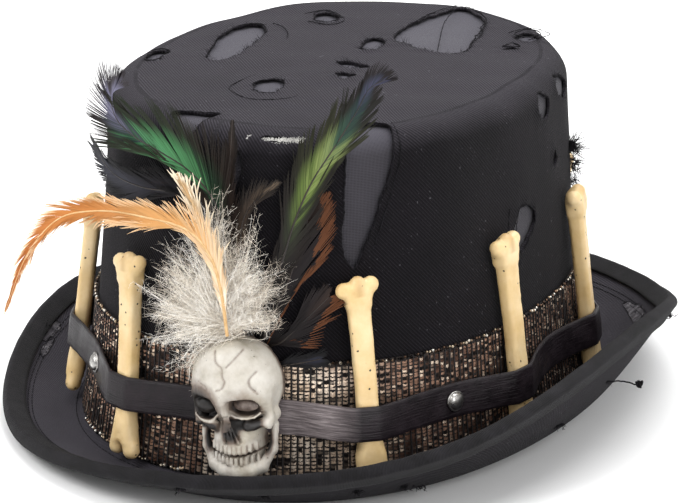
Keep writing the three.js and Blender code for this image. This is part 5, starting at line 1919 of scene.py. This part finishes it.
# Feathers from the band: quill place, and bends as arc from the middle of the trim, height and lift
SPRAY = {
    "coque_dark_left": (
        -4,
        [
            (-8.4, 67.1, 2.1), (-10.4, 90.6, 2.1), (-22.0, 102.0, 2.5), (-46.3, 101.4, 3.1),
            (-64.6, 102.4, 4.5), (-78.0, 110.0, 8.0),
        ],
    ),
    "coque_green_left": (
        -3,
        [
            (-5.1, 58.9, 2.2), (-6.0, 73.0, 5.6), (-7.4, 90.1, 6.1), (-10.5, 104.0, 6.6),
            (-20.0, 113.5, 7.6), (-31.0, 118.5, 8.8), (-42.0, 122.0, 10.2), (-51.0, 127.0, 11.6),
            (-52.5, 135.0, 13.0), (-45.0, 142.5, 14.0),
        ],
    ),
    "coque_brown_centre": (
        -2, [(-3.3, 58.9, 2.1), (-3.6, 70.8, 2.9), (-5.9, 103.4, 3.5), (-4.6, 134.0, 4.4)]
    ),
    "coque_forked_centre": (
        -1, [(-1.5, 58.9, 2.1), (-0.5, 71.6, 4.2), (0.8, 99.8, 4.7), (13.6, 113.4, 4.9)]
    ),
    "coque_green_right": (
        1,
        [
            (3.2, 57.6, 2.2), (7.7, 69.1, 5.6), (14.5, 84.5, 6.0), (18.9, 99.0, 6.0),
            (25.0, 113.5, 6.2), (34.0, 127.5, 6.6), (41.5, 139.5, 7.5), (45.5, 147.0, 9.0),
            (51.5, 150.5, 11.0),
        ],
    ),
    "coque_rust_right": (
        2,
        [
            (9.9, 62.0, 2.8), (16.0, 75.3, 2.8), (20.6, 89.9, 2.9), (24.5, 102.4, 3.0),
            (25.5, 108.0, 3.1),
        ],
    ),
    "coque_short_right": (
        3,
        [(9.0, 51.2, 2.1), (14.1, 54.4, 3.6), (20.8, 61.6, 5.0), (27.0, 67.9, 5.2), (31.0, 72.0, 5.2)],
    ),
    "coque_small_right": (4, [(12.8, 44.8, 2.7), (20.0, 46.5, 2.8), (28.0, 48.5, 3.3)]),
}
# The same for the hackles, with heights from the top of the skull, as shares of its height
HACKLES = {
    "hackle_cream": [
        (-0.026, 0.075, 0.345), (-0.097, 0.555, 0.347), (-0.201, 0.869, 0.355), (-0.374, 1.227, 0.392)
    ],
    "hackle_orange": [
        (-0.016, 0.075, 0.374), (-0.055, 0.422, 0.397), (-0.115, 0.673, 0.434), (-0.251, 0.832, 0.449),
        (-0.572, 0.887, 0.491), (-0.92, 0.837, 0.509), (-1.081, 0.764, 0.664), (-1.162, 0.527, 0.839),
        (-1.204, 0.033, 1.008),
    ],
}
# Material, half width, fullest place and how the vane is split, for each
VANES = {
    "coque_dark_left": (
        DARK, "coque_dark", 6.5, 0.66, dict(slant=0.45, splits=9, loose=0.04, blunt=0.5)
    ),
    "coque_green_left": (
        GREEN_LEFT, "coque_green", 9.8, 0.6,
        dict(slant=0.44, splits=5, loose=0.012, blunt=0.8, cup=0.16),
    ),
    "coque_brown_centre": (BROWN, "coque_dark", 2.0, 0.7, dict(slant=0.3, splits=4, loose=0.1)),
    "coque_forked_centre": (FORKED, "coque_dark", 3.0, 0.7, dict(slant=0.4, splits=7, loose=0.16)),
    "coque_green_right": (
        GREEN_RIGHT, "coque_green", 7.8, 0.55,
        dict(slant=0.42, splits=5, loose=0.012, blunt=0.55, cup=0.16),
    ),
    "coque_rust_right": (
        RUST, "coque_dark", 7.6, 0.5, dict(slant=0.38, splits=5, loose=0.02, start=0.1, blunt=0.3)
    ),
    "coque_short_right": (RUST, "coque_dark", 5.2, 0.55, dict(slant=0.38, splits=5, loose=0.05)),
    "coque_small_right": (DARK, "coque_dark", 3.0, 0.6, dict(slant=0.34, splits=5, loose=0.1)),
    "hackle_cream": (
        CREAM, "hackle_cream", 3.3, 0.6,
        dict(splits=9, loose=0.34, pitch=0.62, start=0.05, slant=0.4, clump=2.2),
    ),
    "hackle_orange": (
        ORANGE, "hackle_orange", 4.9, 0.42,
        dict(splits=12, loose=0.1, pitch=0.27, start=0.06, slant=0.42, droop=0.035, clump=1.5),
    ),
}


def build_feathers():
    for i, (node, (quill, bends)) in enumerate(SPRAY.items()):
        places, faces = spray_frame(bends, quill)
        material, slot, half, fullest, options = VANES[node]
        build_feather(
            "vane_" + node, node, slot, material, places, faces, half, fullest, 100 + i, **options
        )
    for i, (node, bends) in enumerate(HACKLES.items()):
        places, faces = spray_frame([(a * 49, SKULL_TOP + h * 49, l * 49) for a, h, l in bends])
        material, slot, half, fullest, options = VANES[node]
        build_feather(
            "vane_" + node, node, slot, material, places, faces, half, fullest, 200 + i, **options
        )


build_feathers()


def down_look():
    look = Look("down", "e9e4da", 0.9)
    tone = look.value("tone")
    base = look.ramp(
        tone, [(0.0, "6b5c50"), (0.2, "a8998a"), (0.5, "ddd2c2"), (0.8, "efe9de"), (1.0, "f6f3ee")]
    )
    look.put("Base Color", base)
    look.put("Sheen Weight", 0.3)
    look.put("Subsurface Weight", 0.15)
    look.put("Subsurface Radius", (0.003, 0.003, 0.003))
    look.put("Roughness", look.ramp(look.noise(look.place(), 300, 2, 0.5), [(0.3, 0.85), (0.7, 0.95)]))
    return look.material


DOWN = down_look()
# Locks of the down: tip arc and height as shares of the skull's height
DOWN_LOCKS = [
    (-0.496, 0.049), (-0.653, 0.31), (-0.627, 0.623), (-0.444, 0.937), (-0.078, 1.041), (0.157, 0.884),
    (0.287, 0.597), (0.313, 0.31),
]


def build_down():
    """Long filaments that fan out from the top of the skull, each with short fluff along it."""
    local = np.random.default_rng(51)
    parts = Parts()
    root = (TRIM_ARC - 0.052 * 49, SKULL_TOP + 0.103 * 49)
    groups = []
    for arc, height in DOWN_LOCKS:
        groups.append(((TRIM_ARC + arc * 49, SKULL_TOP + height * 49), 120, 1.0))
    for (a, b), (c, d) in zip(DOWN_LOCKS[:-1], DOWN_LOCKS[1:]):
        groups.append(((TRIM_ARC + (a + c) / 2 * 49, SKULL_TOP + (b + d) / 2 * 49 * 1.02), 80, 0.95))
    # Loose wisps reach lower on the wearer's right
    for arc, height in ((-24.5, 42.0), (-31.0, 52.0), (-20.0, 33.0), (-28.5, 66.0), (-34.0, 72.0)):
        groups.append(((TRIM_ARC + arc, height), 60, 0.95))
    for (tip_arc, tip_height), count, reach in groups:
        steps = 14
        t = np.linspace(0, 1, steps)
        # Filaments of a lock share their bends
        locks = 9
        lock = local.integers(0, locks, count)
        lock_arc, lock_height = local.normal(0, 3.6, locks)[lock], local.normal(0, 3.6, locks)[lock]
        start_arc = root[0] + local.normal(0, 2.2, count)
        start_height = root[1] + local.normal(0, 1.8, count)
        size = reach * local.uniform(0.35, 1.0, locks)[lock] * local.uniform(0.75, 1.12, count)
        end_arc = root[0] + (tip_arc - root[0]) * size + (lock_arc + local.normal(0, 1.5, count)) * size
        end_height = root[1] + (tip_height - root[1]) * size + (
            lock_height + local.normal(0, 1.5, count)
        ) * size
        depth = np.clip(local.normal(0, 0.6, locks)[lock] + local.normal(0, 0.6, count), -1.6, 1.9)
        lift = 11.5 + 1.0 * t[None] + (depth * 3.6)[:, None] * np.sin(
            np.pi * np.clip(t * 0.8, 0, 1)
        )[None]
        wave = local.uniform(0, TAU, (locks, 2, 1))[lock] + local.normal(0, 0.5, (count, 2, 1))
        rate = local.uniform(3.5, 8.5, (locks, 2, 1))[lock] * local.uniform(0.9, 1.1, (count, 2, 1))
        swing = (
            np.sin(rate * t[None, None] + wave) - np.sin(wave)
        ) * local.uniform(0.5, 2.1, (count, 2, 1))
        swing = swing * t[None, None] ** 0.8
        bow = (
            local.normal(0, 2.4, locks)[lock] + local.normal(0, 0.8, count)
        )[:, None] * np.sin(np.pi * t)[None]
        curl = local.normal(0, 2.2, count)[:, None] * np.clip(t - 0.7, 0, 1)[None] ** 2 * 11
        arcs = start_arc[:, None] + (end_arc - start_arc)[:, None] * t + swing[:, 0] + bow + curl
        heights = start_height[:, None] + (
            end_height - start_height
        )[:, None] * t + swing[:, 1] - np.abs(curl) * 0.5
        lift = np.clip(lift + swing[:, 1] * 0.4, 4.2, 19.5)
        paths = place(arcs, heights, lift)
        tone = np.clip(0.66 + depth * 0.2 + local.normal(0, 0.12, count), 0, 1)
        shade = np.clip(tone[:, None] - 0.3 * (1 - t[None]) ** 2, 0, 1)
        flat = unit(np.cross(np.gradient(paths, axis=1), unit(local.normal(size=(count, 1, 3)))))
        points, faces = ribbons(
            paths, flat, np.broadcast_to(0.17 * (1 - 0.65 * t)[None], paths.shape[:2])
        )
        parts.add(points, faces, value=np.repeat(shade, 2))
        per = 17
        which = local.integers(0, count, count * per)
        at = local.uniform(0.1, 1.0, count * per) ** 0.8
        row = np.clip(at * (steps - 1), 0, steps - 1.001)
        i = row.astype(int)
        base = paths[which, i] + (paths[which, i + 1] - paths[which, i]) * (row - i)[:, None]
        along = unit(paths[which, i + 1] - paths[which, i])
        away = unit(local.normal(size=base.shape) + along * 0.9)
        long = local.uniform(0.8, 3.6, len(base)) * (0.6 + 0.5 * at)
        bend = local.normal(0, 0.5, base.shape)
        s = np.linspace(0, 1, 3)[None, :, None]
        hair = base[:, None] + (away[:, None] * s + bend[:, None] * s**2) * long[:, None, None]
        across = unit(np.cross(away, local.normal(size=away.shape)))[:, None] * np.ones((1, 3, 1))
        points, faces = ribbons(hair, across, np.array([0.09, 0.075, 0.03])[None])
        parts.add(points, faces, value=np.repeat(shade[which, i] * 0.9 + 0.1, 6))
    parts.build("marabou_down", DOWN, replaces=["down_plume"], slot="down")


build_down()

# Camera, floor and light

TARGET = np.array([-2.0, 0.0, 63.0])
AZIMUTH, ELEVATION, ROLL = (math.radians(v) for v in (26.08, 18.64, 1.17))
back = np.array(
    [
        math.sin(AZIMUTH) * math.cos(ELEVATION), -math.cos(AZIMUTH) * math.cos(ELEVATION),
        math.sin(ELEVATION),
    ]
)
right = np.array([math.cos(AZIMUTH), math.sin(AZIMUTH), 0.0])
up = np.cross(back, right)
right, up = (
    math.cos(ROLL) * right + math.sin(ROLL) * up,
    -math.sin(ROLL) * right + math.cos(ROLL) * up,
)
camera = bpy.data.objects.new("camera", bpy.data.cameras.new("camera"))
bpy.context.scene.collection.objects.link(camera)
placing = Matrix((right, up, back)).transposed().to_4x4()
placing.translation = Vector((TARGET + back * 1240.4) * 0.001)
camera.matrix_world = placing
camera.data.sensor_width = 36
camera.data.lens = FOCAL_PIXELS / PHOTO_WIDTH * camera.data.sensor_width
camera.data.shift_x = (340 - 338.83) / PHOTO_WIDTH
camera.data.shift_y = (234.69 - 251.5) / PHOTO_WIDTH
camera.data.clip_start = 0.05
camera.data.clip_end = 50
bpy.context.scene.camera = camera

floor_look = Look("floor", "eeeeee", 0.9)
floor_mesh = bpy.data.meshes.new("floor")
floor_mesh.from_pydata([(-6, -6, 0), (6, -6, 0), (6, 6, 0), (-6, 6, 0)], [], [(0, 1, 2, 3)])
floor_mesh.materials.append(floor_look.material)
floor = bpy.data.objects.new("floor", floor_mesh)
floor.location.z = -0.0002
bpy.context.scene.collection.objects.link(floor)

LIGHT_AIM = Vector((0, 0, 0.06))


def add_light(name, location, size, energy):
    light = bpy.data.lights.new(name, "AREA")
    light.size = size
    light.energy = energy
    holder = bpy.data.objects.new(name, light)
    holder.location = location
    holder.rotation_mode = "QUATERNION"
    holder.rotation_quaternion = (LIGHT_AIM - Vector(location)).to_track_quat("-Z", "Y")
    bpy.context.scene.collection.objects.link(holder)


add_light("key_light", (-0.7, -0.9, 1.3), 0.9, 18)
add_light("fill_light", (1.3, -0.8, 0.8), 1.1, 12)
add_light("top_light", (0.1, 0.5, 1.5), 1.2, 25)
world = bpy.data.worlds.new("world")
world.use_nodes = True
world.node_tree.nodes["Background"].inputs[0].default_value = (1, 1, 1, 1)
world.node_tree.nodes["Background"].inputs[1].default_value = 0.72
bpy.context.scene.world = world
bpy.context.scene.view_settings.view_transform = "Standard"
